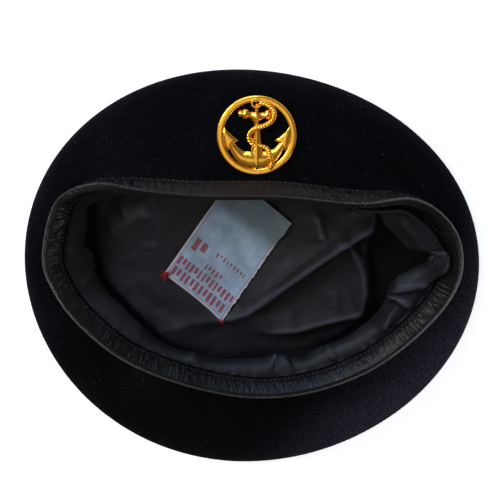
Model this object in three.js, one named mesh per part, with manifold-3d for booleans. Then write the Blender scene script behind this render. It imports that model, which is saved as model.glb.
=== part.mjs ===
// A military beret lying on its crown with the head opening up: a seamless felted wool crown, a
// gathered leather binding folded over the rim of the opening, a loose cloth lining with a woven
// label, and a pierced gilt badge held by a plain clip inside the felt.
// Millimetres, +Z up. The front of the beret, with the badge, is towards -Y. The origin is on the
// floor, under the middle of the crown.
import * as THREE from 'three';
import { mergeVertices } from 'three/addons/utils/BufferGeometryUtils.js';
import Module from 'manifold-3d';

const wasm = await Module();
wasm.setup();

// ---------------------------------------------------------------- driving sizes

const COLUMNS = 60;            // meridians round the beret, a multiple of four
const FIT_GAP = 0.35;          // clearance between pieces that touch on the real beret

const FELT_WALL = 2.2;         // felt of the crown
const BAND_WALL = 1.6;         // felt pressed thin inside the binding
const EDGE_MIDDLE_X = 1.2;     // middle of the crown outline, sideways from the head opening's
const EDGE_HALF_X = 118.6;     // crown outline, half its width
const EDGE_HALF_Y = 112.2;     // crown outline, half its depth
const EDGE_SKEW = -6;          // degrees that the outline's long axis is turned in plan
const EDGE_PEAR = 1.5;         // the outline is this much fuller towards one bearing, and at thirds from it
const EDGE_PEAR_AT = 72;       // that bearing, in degrees
const EDGE_HEIGHT = 12;        // widest line of the crown above the floor
const ROLL_DEPTH = 27;         // from the widest line in to the flat that lies on the floor
const BEND = 48;               // degrees the felt turns at the foot of the standing binding
const BEND_LEAN = { none: -20, full: 15 };    // inward lean at which the bend starts, and is full
const FOOT_PULL = { most: 14, share: 0.3 };   // how long the felt keeps the binding's direction
const CROWN_RINGS = [0.4, 0.75, 1];           // shares of the way out over the flat crown
const ROLL_STEPS = 5;          // rings round the edge
const SIDE_STEPS = 9;          // rings from the edge to the binding
const SHOULDER = 12;           // how far the underside keeps rising before it turns in

const BAND_WIDTH = 9.5;        // each leg of the leather binding
const LEATHER = 1;             // thickness of the leather

// The rim of the head opening: plan position, height, and how far the binding leans out from
// upright, in degrees. It stands inward at the front and lies open at the sides and the rear.
const RIM = [
  { x: 104, y: -22, z: 31.5, lean: 46 },
  { x: 101.5, y: -5, z: 31, lean: 47 },
  { x: 90, y: 15.5, z: 31, lean: 44 },
  { x: 67, y: 37, z: 32, lean: 38 },
  { x: 36, y: 51, z: 33, lean: 33 },
  { x: 2, y: 58, z: 34, lean: 31 },
  { x: -30, y: 55.5, z: 33.5, lean: 32 },
  { x: -62, y: 42.5, z: 32.5, lean: 38 },
  { x: -88, y: 20, z: 31.5, lean: 46 },
  { x: -103, y: -3, z: 31, lean: 50 },
  { x: -104, y: -24, z: 32.5, lean: 48 },
  { x: -95, y: -42, z: 35, lean: 38 },
  { x: -78, y: -53.5, z: 37.5, lean: 12 },
  { x: -52, y: -53, z: 40.5, lean: -18 },
  { x: -14, y: -57.5, z: 42.5, lean: -23 },
  { x: 26, y: -58, z: 42.5, lean: -23 },
  { x: 54, y: -59.8, z: 40.5, lean: -14 },
  { x: 76, y: -61.5, z: 38, lean: 15 },
  { x: 95, y: -51, z: 35, lean: 38 },
];

const CLOTH = 1;               // lining wall
const STRIP = 13;              // lining that shows as a soft strip below the binding
const STRIP_LOWEST = 11.7;     // the strip's lower edge comes no lower than this
const STRIP_DROP = 0.45;       // the strip starts this far below the binding
const FLOOR_LEVEL = 5.2;       // lining over the crown, at the middle of its wall
const CAVITY_INSET = 17;       // the lining stops this far short of the widest line
const CAVITY_ROOF = 11;        // lining that lies against the felt's underside in the cavity
const CAVITY_TURN = [{ out: 0, level: 10.5 }, { out: 1, level: 7.5 }];   // where it turns back
const FLOOR_RINGS = [0.95, 0.8, 0.66, 0.52, 0.38, 0.24, 0.12];   // shares of the way out over the crown
const FLOOR_FREE = { all: 0.66, none: 0.95 }; // the cloth is free to fold inside the first share

// Folds where the strip of lining bulges into the hollow: bearing and spread in degrees, swell in mm.
const STRIP_FOLDS = [
  { at: 14, spread: 9, swell: 5 },
  { at: -12, spread: 10, swell: 7 },
  { at: 176, spread: 9, swell: 12 },
  { at: 190, spread: 6, swell: 16 },
  { at: 205, spread: 10, swell: 18 },
  { at: 98, spread: 6, swell: 4 },
];

// Long folds of the lining over the crown: from and to in plan, with height and half width.
const FLOOR_FOLDS = [
  { fromX: -70, fromY: -32, toX: 14, toY: 25, height: 9, reach: 13 },
  { fromX: -68, fromY: 15, toX: 54, toY: 33, height: 6, reach: 10 },
  { fromX: 62, fromY: -52, toX: 44, toY: -26, height: 5, reach: 12 },
  { fromX: -58, fromY: -26, toX: -60, toY: 14, height: 4, reach: 9 },
];

const LABEL = { x: 13.6, y: -18, wide: 38, long: 63, turn: 57, thick: 0.8, gap: 1.3 };

const BADGE = { x: -2.2, y: -83.4, z: 28.2, slope: 13, radius: 19.3, ring: 2.8, thick: 1.6 };
const SEAT_FLAT = 21;          // felt is flat this far from the badge's centre
const SEAT_BLEND = 36;         // and has its own shape again here
const POST = { at: 18.5, radius: 0.8, bore: 1.15 };
const CLIP = { long: 41, wide: 6, thick: 1, gap: 0.5 };

// ---------------------------------------------------------------- closed meshes from rings

// Six times the signed volume, to tell whether the faces point out.
function signedVolume(points, faces) {
  let sum = 0;
  for (const [a, b, c] of faces) {
    sum += points[a].dot(new THREE.Vector3().crossVectors(points[b], points[c]));
  }
  return sum;
}

function closedGeometry(points, faces) {
  const inwards = signedVolume(points, faces) < 0;
  const geometry = new THREE.BufferGeometry();
  geometry.setAttribute('position', new THREE.Float32BufferAttribute(points.flatMap((p) => p.toArray()), 3));
  geometry.setIndex(faces.flatMap(([a, b, c]) => (inwards ? [a, c, b] : [a, b, c])));
  return geometry;
}

// Quads between rings of equal length; each ring closes on itself. Every quad is split from its
// lower ring up and round, so that two skins that lie face to face twist in the same way.
function ringFaces(rings, closeEnds) {
  const size = rings[0].length;
  const heights = rings.map((ring) => ring.reduce((sum, point) => sum + point.z, 0));
  const faces = [];
  const last = closeEnds ? rings.length : rings.length - 1;
  for (let r = 0; r < last; r++) {
    const next = (r + 1) % rings.length;
    const rising = heights[next] > heights[r];
    for (let i = 0; i < size; i++) {
      const j = (i + 1) % size;
      const [a, b, c, d] = [r * size + i, r * size + j, next * size + j, next * size + i];
      faces.push(...(rising ? [[a, b, c], [a, c, d]] : [[a, b, d], [b, c, d]]));
    }
  }
  return faces;
}

// A skin from one pole to the other through the rings, as a folded bag has.
function bagGeometry(startPole, rings, endPole) {
  const size = rings[0].length;
  const faces = ringFaces(rings, false);
  const points = [...rings.flat(), startPole, endPole];
  const start = points.length - 2;
  const end = points.length - 1;
  const lastRing = (rings.length - 1) * size;
  for (let i = 0; i < size; i++) {
    const j = (i + 1) % size;
    faces.push([start, j, i], [end, lastRing + i, lastRing + j]);
  }
  return closedGeometry(points, faces);
}

function hoopGeometry(rings) {
  return closedGeometry(rings.flat(), ringFaces(rings, true));
}

// Unit normals of a grid of rings, facing the side that the first ring's pole faces away from.
function gridNormals(rings) {
  return rings.map((ring, r) => ring.map((_, i) => {
    const size = ring.length;
    const around = new THREE.Vector3().subVectors(ring[(i + 1) % size], ring[(i + size - 1) % size]);
    const along = new THREE.Vector3().subVectors(
      rings[Math.min(r + 1, rings.length - 1)][i],
      rings[Math.max(r - 1, 0)][i],
    );
    return along.cross(around).normalize();
  }));
}

// ---------------------------------------------------------------- rim and meridians

function catmullRom(a, b, c, d, t) {
  const square = 2 * a - 5 * b + 4 * c - d;
  const cube = 3 * b - a - 3 * c + d;
  return b + 0.5 * ((c - a) * t + square * t ** 2 + cube * t ** 3);
}

function rimAt(u) {
  const n = RIM.length;
  const i = Math.floor(u);
  const t = u - i;
  const rows = [-1, 0, 1, 2].map((k) => RIM[(i + k + n) % n]);
  const value = (key) => catmullRom(...rows.map((row) => row[key]), t);
  return { place: new THREE.Vector3(value('x'), value('y'), value('z')), lean: value('lean') };
}

// Every quarter of the beret has the same number of meridians, spaced evenly along the rim.
function spacedRim() {
  const steps = 60 * RIM.length;
  const quarter = Math.PI / 2;
  const fine = [];
  for (let k = 0; k <= 2 * steps; k++) {
    const u = (k / steps) * RIM.length;
    const { place } = rimAt(u % RIM.length);
    const turn = Math.atan2(place.y, place.x);
    const before = fine[k - 1];
    const whole = before ? turn + 2 * Math.PI * Math.round((before.turn - turn) / (2 * Math.PI)) : turn;
    const travel = before ? before.travel + place.distanceTo(before.place) : 0;
    fine.push({ u, place, turn: whole, travel });
  }
  const where = (key, value) => {
    const k = fine.findIndex((f) => f[key] >= value);
    const a = fine[k - 1];
    const b = fine[k];
    const t = (value - a[key]) / (b[key] - a[key]);
    return { u: a.u + (b.u - a.u) * t, travel: a.travel + (b.travel - a.travel) * t };
  };
  const spaced = [];
  for (let q = 0; q < 4; q++) {
    const from = where('turn', q * quarter).travel;
    const to = where('turn', (q + 1) * quarter).travel;
    for (let k = 0; k < COLUMNS / 4; k++) {
      spaced.push(where('travel', from + ((to - from) * k * 4) / COLUMNS).u % RIM.length);
    }
  }
  return spaced;
}

const UP = new THREE.Vector3(0, 0, 1);

// One meridian: the rim point, the binding's own directions there, and the crown edge beyond it.
function meridianAt(u) {
  const { place: rim, lean } = rimAt(u);
  const ahead = rimAt((u + 0.02) % RIM.length).place;
  const behind = rimAt((u - 0.02 + RIM.length) % RIM.length).place;
  const along = ahead.sub(behind).normalize();
  const outward = new THREE.Vector3().crossVectors(along, UP).normalize();
  const upright = new THREE.Vector3().crossVectors(outward, along).normalize();
  const tilt = THREE.MathUtils.degToRad(lean);
  const rise = outward.clone().multiplyScalar(Math.sin(tilt)).addScaledVector(upright, Math.cos(tilt));
  const inward = new THREE.Vector3().crossVectors(along, rise).normalize().negate();
  const turn = Math.atan2(rim.y, rim.x);
  const edge = edgeRadius(turn);
  return { rim, along, rise, inward, lean, turn, edge, base: rim.clone().addScaledVector(rise, -BAND_WIDTH) };
}

function edgeRadius(turn) {
  const skewed = turn - THREE.MathUtils.degToRad(EDGE_SKEW);
  const oval = 1 / Math.hypot(Math.cos(skewed) / EDGE_HALF_X, Math.sin(skewed) / EDGE_HALF_Y);
  const pear = EDGE_PEAR * Math.cos(3 * (turn - THREE.MathUtils.degToRad(EDGE_PEAR_AT)));
  return oval + pear + EDGE_MIDDLE_X * Math.cos(turn);
}

function radial(turn, radius, z) {
  return new THREE.Vector3(radius * Math.cos(turn), radius * Math.sin(turn), z);
}

const meridians = spacedRim().map(meridianAt);

// ---------------------------------------------------------------- badge seat

const slope = THREE.MathUtils.degToRad(BADGE.slope);
const badgeCentre = new THREE.Vector3(BADGE.x, BADGE.y, BADGE.z);
const badgeNormal = new THREE.Vector3(0, -Math.sin(slope), Math.cos(slope));
const badgeTurn = new THREE.Euler(slope, 0, Math.PI);

// The felt is pressed flat behind the badge, and is free again where it meets the binding.
function seated(point, share) {
  const offset = point.clone().sub(badgeCentre);
  const height = offset.dot(badgeNormal);
  const away = offset.addScaledVector(badgeNormal, -height).length();
  const near = 1 - THREE.MathUtils.smoothstep(away, SEAT_FLAT, SEAT_BLEND);
  const hold = near * (1 - THREE.MathUtils.smoothstep(share, 0.88, 1));
  return point.clone().addScaledVector(badgeNormal, -height * hold);
}

// ---------------------------------------------------------------- felt crown

// Outer surface from the flat on the floor, round the edge, up the underside to the rim.
function feltOuterRings() {
  const rings = [];
  for (const share of CROWN_RINGS) {
    rings.push(meridians.map((m) => radial(m.turn, (m.edge - ROLL_DEPTH) * share, 0)));
  }
  for (let k = 1; k <= ROLL_STEPS; k++) {
    const a = (k / ROLL_STEPS) * (Math.PI / 2);
    rings.push(meridians.map((m) => radial(
      m.turn,
      m.edge - ROLL_DEPTH * (1 - Math.sin(a)),
      EDGE_HEIGHT * (1 - Math.cos(a)),
    )));
  }
  const sides = meridians.map(undersideCurve);
  for (let k = 1; k <= SIDE_STEPS; k++) {
    rings.push(sides.map((curve) => seated(curve.getPoint(k / SIDE_STEPS), k / SIDE_STEPS)));
  }
  rings.push(meridians.map((m) => m.rim.clone().addScaledVector(m.rise, -BAND_WIDTH / 2)));
  rings.push(meridians.map((m) => m.rim.clone()));
  return rings;
}

// The underside rises from the widest line and turns in. Where the binding lies open the felt runs
// on from its foot; where the binding stands up the felt bends away from it to the crown's edge.
function undersideCurve(m) {
  const edge = radial(m.turn, m.edge, EDGE_HEIGHT);
  const reach = edge.distanceTo(m.base);
  const stands = THREE.MathUtils.smoothstep(-m.lean, BEND_LEAN.none, BEND_LEAN.full);
  const bend = THREE.MathUtils.degToRad(BEND) * stands;
  const leave = m.rise.clone().applyAxisAngle(m.along, -bend);
  return new THREE.CubicBezierCurve3(
    edge,
    edge.clone().add(radial(m.turn, 0, SHOULDER)),
    m.base.clone().addScaledVector(leave, -Math.min(FOOT_PULL.most, FOOT_PULL.share * reach)),
    m.base,
  );
}

function cylinderAlongBadge(radius, from, to, x) {
  const geometry = new THREE.CylinderGeometry(radius, radius, to - from, 12);
  geometry.rotateX(Math.PI / 2);
  geometry.translate(x, 0, (from + to) / 2);
  return geometry;
}

function placedOnBadge(geometry) {
  const matrix = new THREE.Matrix4().makeRotationFromEuler(badgeTurn).setPosition(badgeCentre);
  return geometry.clone().applyMatrix4(matrix);
}

function feltCrown() {
  const outer = feltOuterRings();
  const normals = gridNormals(outer);
  const inner = outer.map((ring, r) => ring.map((point, i) => {
    if (r >= outer.length - 3) return point.clone().addScaledVector(meridians[i].inward, BAND_WALL);
    return point.clone().addScaledVector(normals[r][i], FELT_WALL);
  }));
  const body = bagGeometry(
    new THREE.Vector3(0, 0, 0),
    [...outer, ...inner.reverse()],
    new THREE.Vector3(0, 0, FELT_WALL),
  );
  let felt = toSolid(body);
  for (const side of [-1, 1]) {
    const bore = placedOnBadge(cylinderAlongBadge(POST.bore, -8, 4, side * POST.at));
    felt = felt.subtract(toSolid(bore));
  }
  return toGeometry(felt);
}

// ---------------------------------------------------------------- leather binding

// One strip of leather folded over the rim, with a leg on each face of the felt.
function leatherBinding() {
  const outFace = -FIT_GAP;
  const inFace = BAND_WALL + FIT_GAP;
  const section = [
    { in: outFace, up: -BAND_WIDTH },
    { in: outFace - LEATHER, up: -BAND_WIDTH },
    { in: outFace - LEATHER, up: -BAND_WIDTH / 2 },
    { in: outFace - LEATHER, up: FIT_GAP },
    { in: outFace - LEATHER * 0.2, up: FIT_GAP + LEATHER },
    { in: inFace + LEATHER * 0.2, up: FIT_GAP + LEATHER },
    { in: inFace + LEATHER, up: FIT_GAP },
    { in: inFace + LEATHER, up: -BAND_WIDTH / 2 },
    { in: inFace + LEATHER, up: -BAND_WIDTH },
    { in: inFace, up: -BAND_WIDTH },
    { in: inFace, up: -BAND_WIDTH / 2 },
    { in: inFace, up: FIT_GAP },
    { in: outFace, up: FIT_GAP },
    { in: outFace, up: -BAND_WIDTH / 2 },
  ];
  return hoopGeometry(section.map((s) => meridians.map((m) => m.rim.clone()
    .addScaledVector(m.inward, s.in)
    .addScaledVector(m.rise, s.up))));
}

// ---------------------------------------------------------------- lining

function stripSwell(turn) {
  let swell = 0;
  for (const fold of STRIP_FOLDS) {
    const off = THREE.MathUtils.euclideanModulo(THREE.MathUtils.radToDeg(turn) - fold.at + 180, 360) - 180;
    swell += fold.swell * Math.exp(-((off / fold.spread) ** 2));
  }
  return swell;
}

// Height of the lining over the crown, before the wall that joins it to the binding.
function floorHeight(x, y) {
  let height = FLOOR_LEVEL;
  for (const fold of FLOOR_FOLDS) {
    const runX = fold.toX - fold.fromX;
    const runY = fold.toY - fold.fromY;
    const share = ((x - fold.fromX) * runX + (y - fold.fromY) * runY) / (runX ** 2 + runY ** 2);
    const t = THREE.MathUtils.clamp(share, 0, 1);
    const away = Math.hypot(x - fold.fromX - runX * t, y - fold.fromY - runY * t);
    height += fold.height * Math.exp(-((away / fold.reach) ** 2));
  }
  return height;
}

// The middle of the lining's wall: a strip that hangs from the binding, a fold that runs out into
// the cavity under the felt, and the loose cloth over the crown.
function liningRings() {
  const rings = [];
  const start = (m) => m.base.clone()
    .addScaledVector(m.inward, BAND_WALL + FIT_GAP + CLOTH / 2)
    .addScaledVector(m.rise, -STRIP_DROP);
  const lip = (m) => {
    const end = start(m).addScaledVector(m.rise, -STRIP).addScaledVector(m.inward, 1);
    end.z = Math.max(end.z, STRIP_LOWEST);
    const swell = stripSwell(m.turn);
    return end.add(radial(m.turn, -swell, 0.08 * swell));
  };
  const turnRadius = (m) => m.edge - CAVITY_INSET;
  rings.push(meridians.map(start));
  rings.push(meridians.map((m) => start(m).lerp(lip(m), 0.5)
    .addScaledVector(m.inward, 0.12 * stripSwell(m.turn))));
  rings.push(meridians.map(lip));
  rings.push(meridians.map((m) => lip(m).add(radial(m.turn, 3, -2.6))));
  rings.push(meridians.map((m) => lip(m).lerp(radial(m.turn, turnRadius(m), 0), 0.5).setZ(CAVITY_ROOF)));
  for (const { out, level } of CAVITY_TURN) {
    rings.push(meridians.map((m) => radial(m.turn, turnRadius(m) + out, level)));
  }
  for (const share of FLOOR_RINGS) {
    rings.push(meridians.map((m) => {
      const flat = radial(m.turn, turnRadius(m) * share, 0);
      const free = 1 - THREE.MathUtils.smoothstep(share, FLOOR_FREE.all, FLOOR_FREE.none);
      return flat.setZ(FLOOR_LEVEL + (floorHeight(flat.x, flat.y) - FLOOR_LEVEL) * free);
    }));
  }
  return rings;
}

function lining() {
  const middle = liningRings();
  const normals = gridNormals(middle);
  const side = (sign) => middle.map((ring, r) => ring.map((point, i) => (
    point.clone().addScaledVector(r ? normals[r][i] : meridians[i].inward.clone().negate(), (sign * CLOTH) / 2)
  )));
  const pole = (dz) => new THREE.Vector3(0, 0, floorHeight(0, 0) + dz);
  return bagGeometry(pole(CLOTH / 2), [...side(-1).reverse(), ...side(1)], pole(-CLOTH / 2));
}

// ---------------------------------------------------------------- woven label

// A flat woven rectangle that lies on the loose lining and takes its slope.
function wovenLabel() {
  const across = 5;
  const down = 9;
  const turn = THREE.MathUtils.degToRad(LABEL.turn);
  const place = (i, j, lift) => {
    const a = (i / across - 0.5) * LABEL.wide;
    const b = (j / down - 0.5) * LABEL.long;
    const x = LABEL.x + b * Math.cos(turn) - a * Math.sin(turn);
    const y = LABEL.y + b * Math.sin(turn) + a * Math.cos(turn);
    return new THREE.Vector3(x, y, floorHeight(x, y) + CLOTH / 2 + LABEL.gap + lift);
  };
  const points = [];
  for (const lift of [0, LABEL.thick]) {
    for (let j = 0; j <= down; j++) {
      for (let i = 0; i <= across; i++) points.push(place(i, j, lift));
    }
  }
  const layer = (across + 1) * (down + 1);
  const at = (i, j, top) => j * (across + 1) + i + (top ? layer : 0);
  const faces = [];
  const quad = (a, b, c, d) => faces.push([a, b, c], [a, c, d]);
  for (let j = 0; j < down; j++) {
    for (let i = 0; i < across; i++) {
      quad(at(i, j, true), at(i + 1, j, true), at(i + 1, j + 1, true), at(i, j + 1, true));
      quad(at(i, j, false), at(i, j + 1, false), at(i + 1, j + 1, false), at(i + 1, j, false));
    }
  }
  for (let i = 0; i < across; i++) {
    quad(at(i, 0, false), at(i + 1, 0, false), at(i + 1, 0, true), at(i, 0, true));
    quad(at(i + 1, down, false), at(i, down, false), at(i, down, true), at(i + 1, down, true));
  }
  for (let j = 0; j < down; j++) {
    quad(at(0, j + 1, false), at(0, j, false), at(0, j, true), at(0, j + 1, true));
    quad(at(across, j, false), at(across, j + 1, false), at(across, j + 1, true), at(across, j, true));
  }
  return closedGeometry(points, faces);
}

// ---------------------------------------------------------------- badge

// Half of the anchor's shank, arm and fluke, from the foot up its right side to the head.
const ANCHOR_HALF = [
  { x: 0, y: -17.4 }, { x: 3.8, y: -15.4 }, { x: 8.6, y: -11.8 }, { x: 12.6, y: -7 },
  { x: 14.6, y: -8.2 }, { x: 16.6, y: -2.4 }, { x: 16.6, y: 4.1 },
  { x: 13, y: -0.2 }, { x: 8.9, y: -2.7 }, { x: 10.9, y: -3.6 },
  { x: 8.7, y: -6.4 }, { x: 5.9, y: -8.2 }, { x: 3.7, y: -8.5 }, { x: 2.3, y: -7 },
  { x: 1.9, y: 0 }, { x: 1.4, y: 6.4 },
];

// Half of the stock: a bar that is deepest at the shank, with a collar at its end.
const STOCK_HALF = [
  { x: 0, y: 6.4 }, { x: 3.4, y: 7.9 }, { x: 5.2, y: 8 }, { x: 5.4, y: 7.4 }, { x: 8.6, y: 7.6 },
  { x: 9, y: 9.6 }, { x: 8.6, y: 11.8 }, { x: 5.4, y: 11.9 }, { x: 5.2, y: 11.4 }, { x: 2.6, y: 11 },
  { x: 0.9, y: 11.2 }, { x: 0.8, y: 14.4 }, { x: 0, y: 14.9 },
];

// The rope's line on the badge, with its height above the badge's back.
const ROPE = [
  { x: 1.9, y: 14.4, z: 1.3 }, { x: 4.6, y: 14.5, z: 1.5 }, { x: 7.4, y: 12.7, z: 1.6 },
  { x: 8.7, y: 10, z: 1.9 }, { x: 7.8, y: 7.6, z: 1.9 }, { x: 4.8, y: 5.6, z: 2 },
  { x: 1, y: 4.2, z: 2.3 }, { x: -2.4, y: 2.2, z: 1.7 }, { x: -3.6, y: -0.6, z: 1.3 },
  { x: -2.6, y: -3.4, z: 1.1 }, { x: 0, y: -4.7, z: 0.9 }, { x: 2.9, y: -5.5, z: 1.3 },
  { x: 5.2, y: -7.7, z: 1.9 }, { x: 6.4, y: -10.6, z: 1.8 }, { x: 7.4, y: -13.8, z: 1.5 },
  { x: 7.2, y: -16.4, z: 1.5 },
];
const ROPE_RADIUS = 1.15;
const RELIEF = 1.3;            // thickness of the anchor's flat parts
const SHACKLE = { y: 15.3, radius: 2.2, wire: 0.65 };

function mirroredOutline(half) {
  const points = half.map((p) => new THREE.Vector2(p.x, p.y));
  const left = half.slice(1).filter((p) => p.x > 0).map((p) => new THREE.Vector2(-p.x, p.y)).reverse();
  return new THREE.Shape([...points, ...left]);
}

function relief(half, from, depth) {
  const geometry = new THREE.ExtrudeGeometry(mirroredOutline(half), { depth, bevelEnabled: false });
  geometry.translate(0, 0, from);
  return geometry;
}

function badgeRing() {
  const inner = BADGE.radius - BADGE.ring;
  const profile = [
    [inner, 0], [BADGE.radius, 0], [BADGE.radius, BADGE.thick * 0.6], [BADGE.radius - 0.6, BADGE.thick],
    [inner + 0.6, BADGE.thick], [inner, BADGE.thick * 0.6], [inner, 0],
  ].map(([r, z]) => new THREE.Vector2(r, z));
  const geometry = new THREE.LatheGeometry(profile, 44);
  geometry.rotateX(Math.PI / 2);
  return geometry;
}

function rope() {
  const path = new THREE.CatmullRomCurve3(ROPE.map((p) => new THREE.Vector3(p.x, p.y, p.z)));
  const section = new THREE.Shape();
  section.absarc(0, 0, ROPE_RADIUS, 0, 2 * Math.PI);
  return new THREE.ExtrudeGeometry(section, { steps: 30, curveSegments: 4, extrudePath: path });
}

function shackle() {
  const geometry = new THREE.TorusGeometry(SHACKLE.radius, SHACKLE.wire, 6, 16);
  geometry.translate(0, SHACKLE.y, RELIEF / 2 + 0.2);
  return geometry;
}

function badge() {
  const anchor = [relief(ANCHOR_HALF, 0.2, RELIEF), relief(STOCK_HALF, 0.2, RELIEF + 0.2)];
  const pieces = [badgeRing(), ...anchor, shackle(), rope()];
  return toGeometry(pieces.map(toSolid).reduce((whole, piece) => whole.add(piece)));
}

// A flat bar inside the felt, with two shanks that reach through it to the back of the badge.
function badgeClip() {
  const top = -FELT_WALL - CLIP.gap;
  const bar = new THREE.BoxGeometry(CLIP.long, CLIP.wide, CLIP.thick);
  bar.translate(0, 0, top - CLIP.thick / 2);
  const foot = top - CLIP.thick / 2;
  const shanks = [-1, 1].map((side) => cylinderAlongBadge(POST.radius, foot, 0, side * POST.at));
  return toGeometry([bar, ...shanks].map(toSolid).reduce((whole, piece) => whole.add(piece)));
}

// ---------------------------------------------------------------- solids to cut and join

function toSolid(geometry) {
  const bare = geometry.clone();
  bare.deleteAttribute('normal');
  bare.deleteAttribute('uv');
  const merged = mergeVertices(bare, 1e-4);
  return new wasm.Manifold(new wasm.Mesh({
    numProp: 3,
    vertProperties: new Float32Array(merged.attributes.position.array),
    triVerts: new Uint32Array(merged.index.array),
  }));
}

function toGeometry(solid) {
  const mesh = solid.getMesh();
  const geometry = new THREE.BufferGeometry();
  geometry.setAttribute('position', new THREE.BufferAttribute(mesh.vertProperties, 3));
  geometry.setIndex(new THREE.BufferAttribute(mesh.triVerts, 1));
  return geometry;
}

// ---------------------------------------------------------------- the beret

const wool = new THREE.MeshStandardMaterial({ color: 0x0b0b10, roughness: 0.95, metalness: 0 });
const hide = new THREE.MeshStandardMaterial({ color: 0x1b1817, roughness: 0.45, metalness: 0 });
const cloth = new THREE.MeshStandardMaterial({ color: 0x24242a, roughness: 0.6, metalness: 0 });
const woven = new THREE.MeshStandardMaterial({ color: 0x8193a0, roughness: 0.8, metalness: 0 });
const gilt = new THREE.MeshStandardMaterial({ color: 0xd99a2b, roughness: 0.3, metalness: 1 });
const steel = new THREE.MeshStandardMaterial({ color: 0x9a9a9a, roughness: 0.4, metalness: 1 });

function piece(name, geometry, material) {
  const mesh = new THREE.Mesh(geometry, material);
  mesh.name = name;
  return mesh;
}

const beret = new THREE.Group();
beret.add(piece('felt_crown', feltCrown(), wool));
beret.add(piece('leather_binding', leatherBinding(), hide));
beret.add(piece('lining', lining(), cloth));
beret.add(piece('woven_label', wovenLabel(), woven));

const insignia = new THREE.Group();
insignia.position.copy(badgeCentre);
insignia.rotation.copy(badgeTurn);
const front = piece('badge', badge(), gilt);
front.position.z = FIT_GAP;
insignia.add(front);
insignia.add(piece('badge_clip', badgeClip(), steel));
beret.add(insignia);

// The outline is not quite even, so its middle is brought over the origin.
const middle = new THREE.Box3().setFromObject(beret).getCenter(new THREE.Vector3());
beret.position.set(-middle.x, -middle.y, 0);

export default beret;
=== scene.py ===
# A military beret lying on its crown with the head opening up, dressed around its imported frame.
# The sections follow the order in which such a beret is made: the felted crown, the badge on its
# clip, the cloth lining, the woven label, and last the leather binding sewn over the raw edge.
# Sizes are in millimetres, and new_mesh() brings them to metres. The front is towards -y and the
# right end towards -x, as the beret lies. Bearings run in degrees from +x, the left end, to +y.
import math
from collections import namedtuple

import bmesh
import bpy
import numpy as np
from mathutils import Matrix, Vector


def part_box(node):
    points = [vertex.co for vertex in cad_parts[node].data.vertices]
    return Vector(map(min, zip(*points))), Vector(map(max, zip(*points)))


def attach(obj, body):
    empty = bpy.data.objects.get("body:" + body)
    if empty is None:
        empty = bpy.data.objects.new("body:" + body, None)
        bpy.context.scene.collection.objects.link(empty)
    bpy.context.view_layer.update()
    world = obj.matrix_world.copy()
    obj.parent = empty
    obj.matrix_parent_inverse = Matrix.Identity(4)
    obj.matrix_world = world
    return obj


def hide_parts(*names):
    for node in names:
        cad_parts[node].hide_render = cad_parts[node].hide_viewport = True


bpy.ops.wm.read_factory_settings(use_empty=True)
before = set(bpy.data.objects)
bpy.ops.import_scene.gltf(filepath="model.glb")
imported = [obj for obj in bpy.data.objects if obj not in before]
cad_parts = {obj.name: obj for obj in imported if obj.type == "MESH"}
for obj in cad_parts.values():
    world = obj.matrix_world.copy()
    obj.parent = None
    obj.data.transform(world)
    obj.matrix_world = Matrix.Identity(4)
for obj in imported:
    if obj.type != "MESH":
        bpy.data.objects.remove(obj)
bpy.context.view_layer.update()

# --------------------------------------------------------------------------------------- felt crown
# The body of the beret is one seamless piece: wool knitted in the round, milled to a dense felt and
# steamed over a block. It is about 2 mm thick, with the head opening cut in its underside.

MM = 0.001
FELT_WALL = 2.2
BAND_WALL = 1.6                # felt pressed thin inside the binding
BAND_WIDTH = 9.5               # how far the binding reaches down each face of it
FIT_GAP = 0.35                 # left between the felt and what is fixed over it

EDGE_MIDDLE_X = 1.2            # the crown's outline is an oval, slightly skewed and pear-shaped
EDGE_HALF_X = 118.6
EDGE_HALF_Y = 112.2
EDGE_SKEW = math.radians(-6)
EDGE_PEAR = 1.5
EDGE_PEAR_AT = math.radians(72)
EDGE_HEIGHT = 12               # the level at which the lying crown is widest
ROLL_DEPTH = 27                # how far in from there it lies flat on the floor

# The edge of the head opening, and how far it leans outwards in degrees.
RimPoint = namedtuple("RimPoint", "x y z lean")
RIM = [
    RimPoint(104, -22, 31.5, 46),
    RimPoint(101.5, -5, 31, 47),
    RimPoint(90, 15.5, 31, 44),
    RimPoint(67, 37, 32, 38),
    RimPoint(36, 51, 33, 33),
    RimPoint(2, 58, 34, 31),
    RimPoint(-30, 55.5, 33.5, 32),
    RimPoint(-62, 42.5, 32.5, 38),
    RimPoint(-88, 20, 31.5, 46),
    RimPoint(-103, -3, 31, 50),
    RimPoint(-104, -24, 32.5, 48),
    RimPoint(-95, -42, 35, 38),
    RimPoint(-78, -53.5, 37.5, 12),
    RimPoint(-52, -53, 40.5, -18),
    RimPoint(-14, -57.5, 42.5, -23),
    RimPoint(26, -58, 42.5, -23),
    RimPoint(54, -59.8, 40.5, -14),
    RimPoint(76, -61.5, 38, 15),
    RimPoint(95, -51, 35, 38),
]

SHOULDER = 12                  # how far the underside keeps rising before it turns in
FOOT_PULL = 14                 # how far it runs on in line with the binding, at the most,
FOOT_SHARE = 0.3               # and as a share of its whole width
BEND = 48                      # degrees the felt turns at the foot of the standing binding,
BEND_FROM, BEND_FULL = -20, 15     # where the binding leans inwards by so many degrees
DENT_LENGTH, DENT_DEPTH = 46, 0.7

BADGE_PLACE = np.array([-2.2, -83.4, 28.2])
BADGE_SLOPE = math.radians(13)
SEAT_FLAT, SEAT_BLEND = 21, 36     # the felt is flat this far from the badge's middle, then free
SHEEN_FROM, SHEEN_FULL = 0.5, 1.05     # painted sheen rises between these shares of the way out

NAP_FROM = 3.5                 # no nap below this height, where the crown is pressed flat


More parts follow.
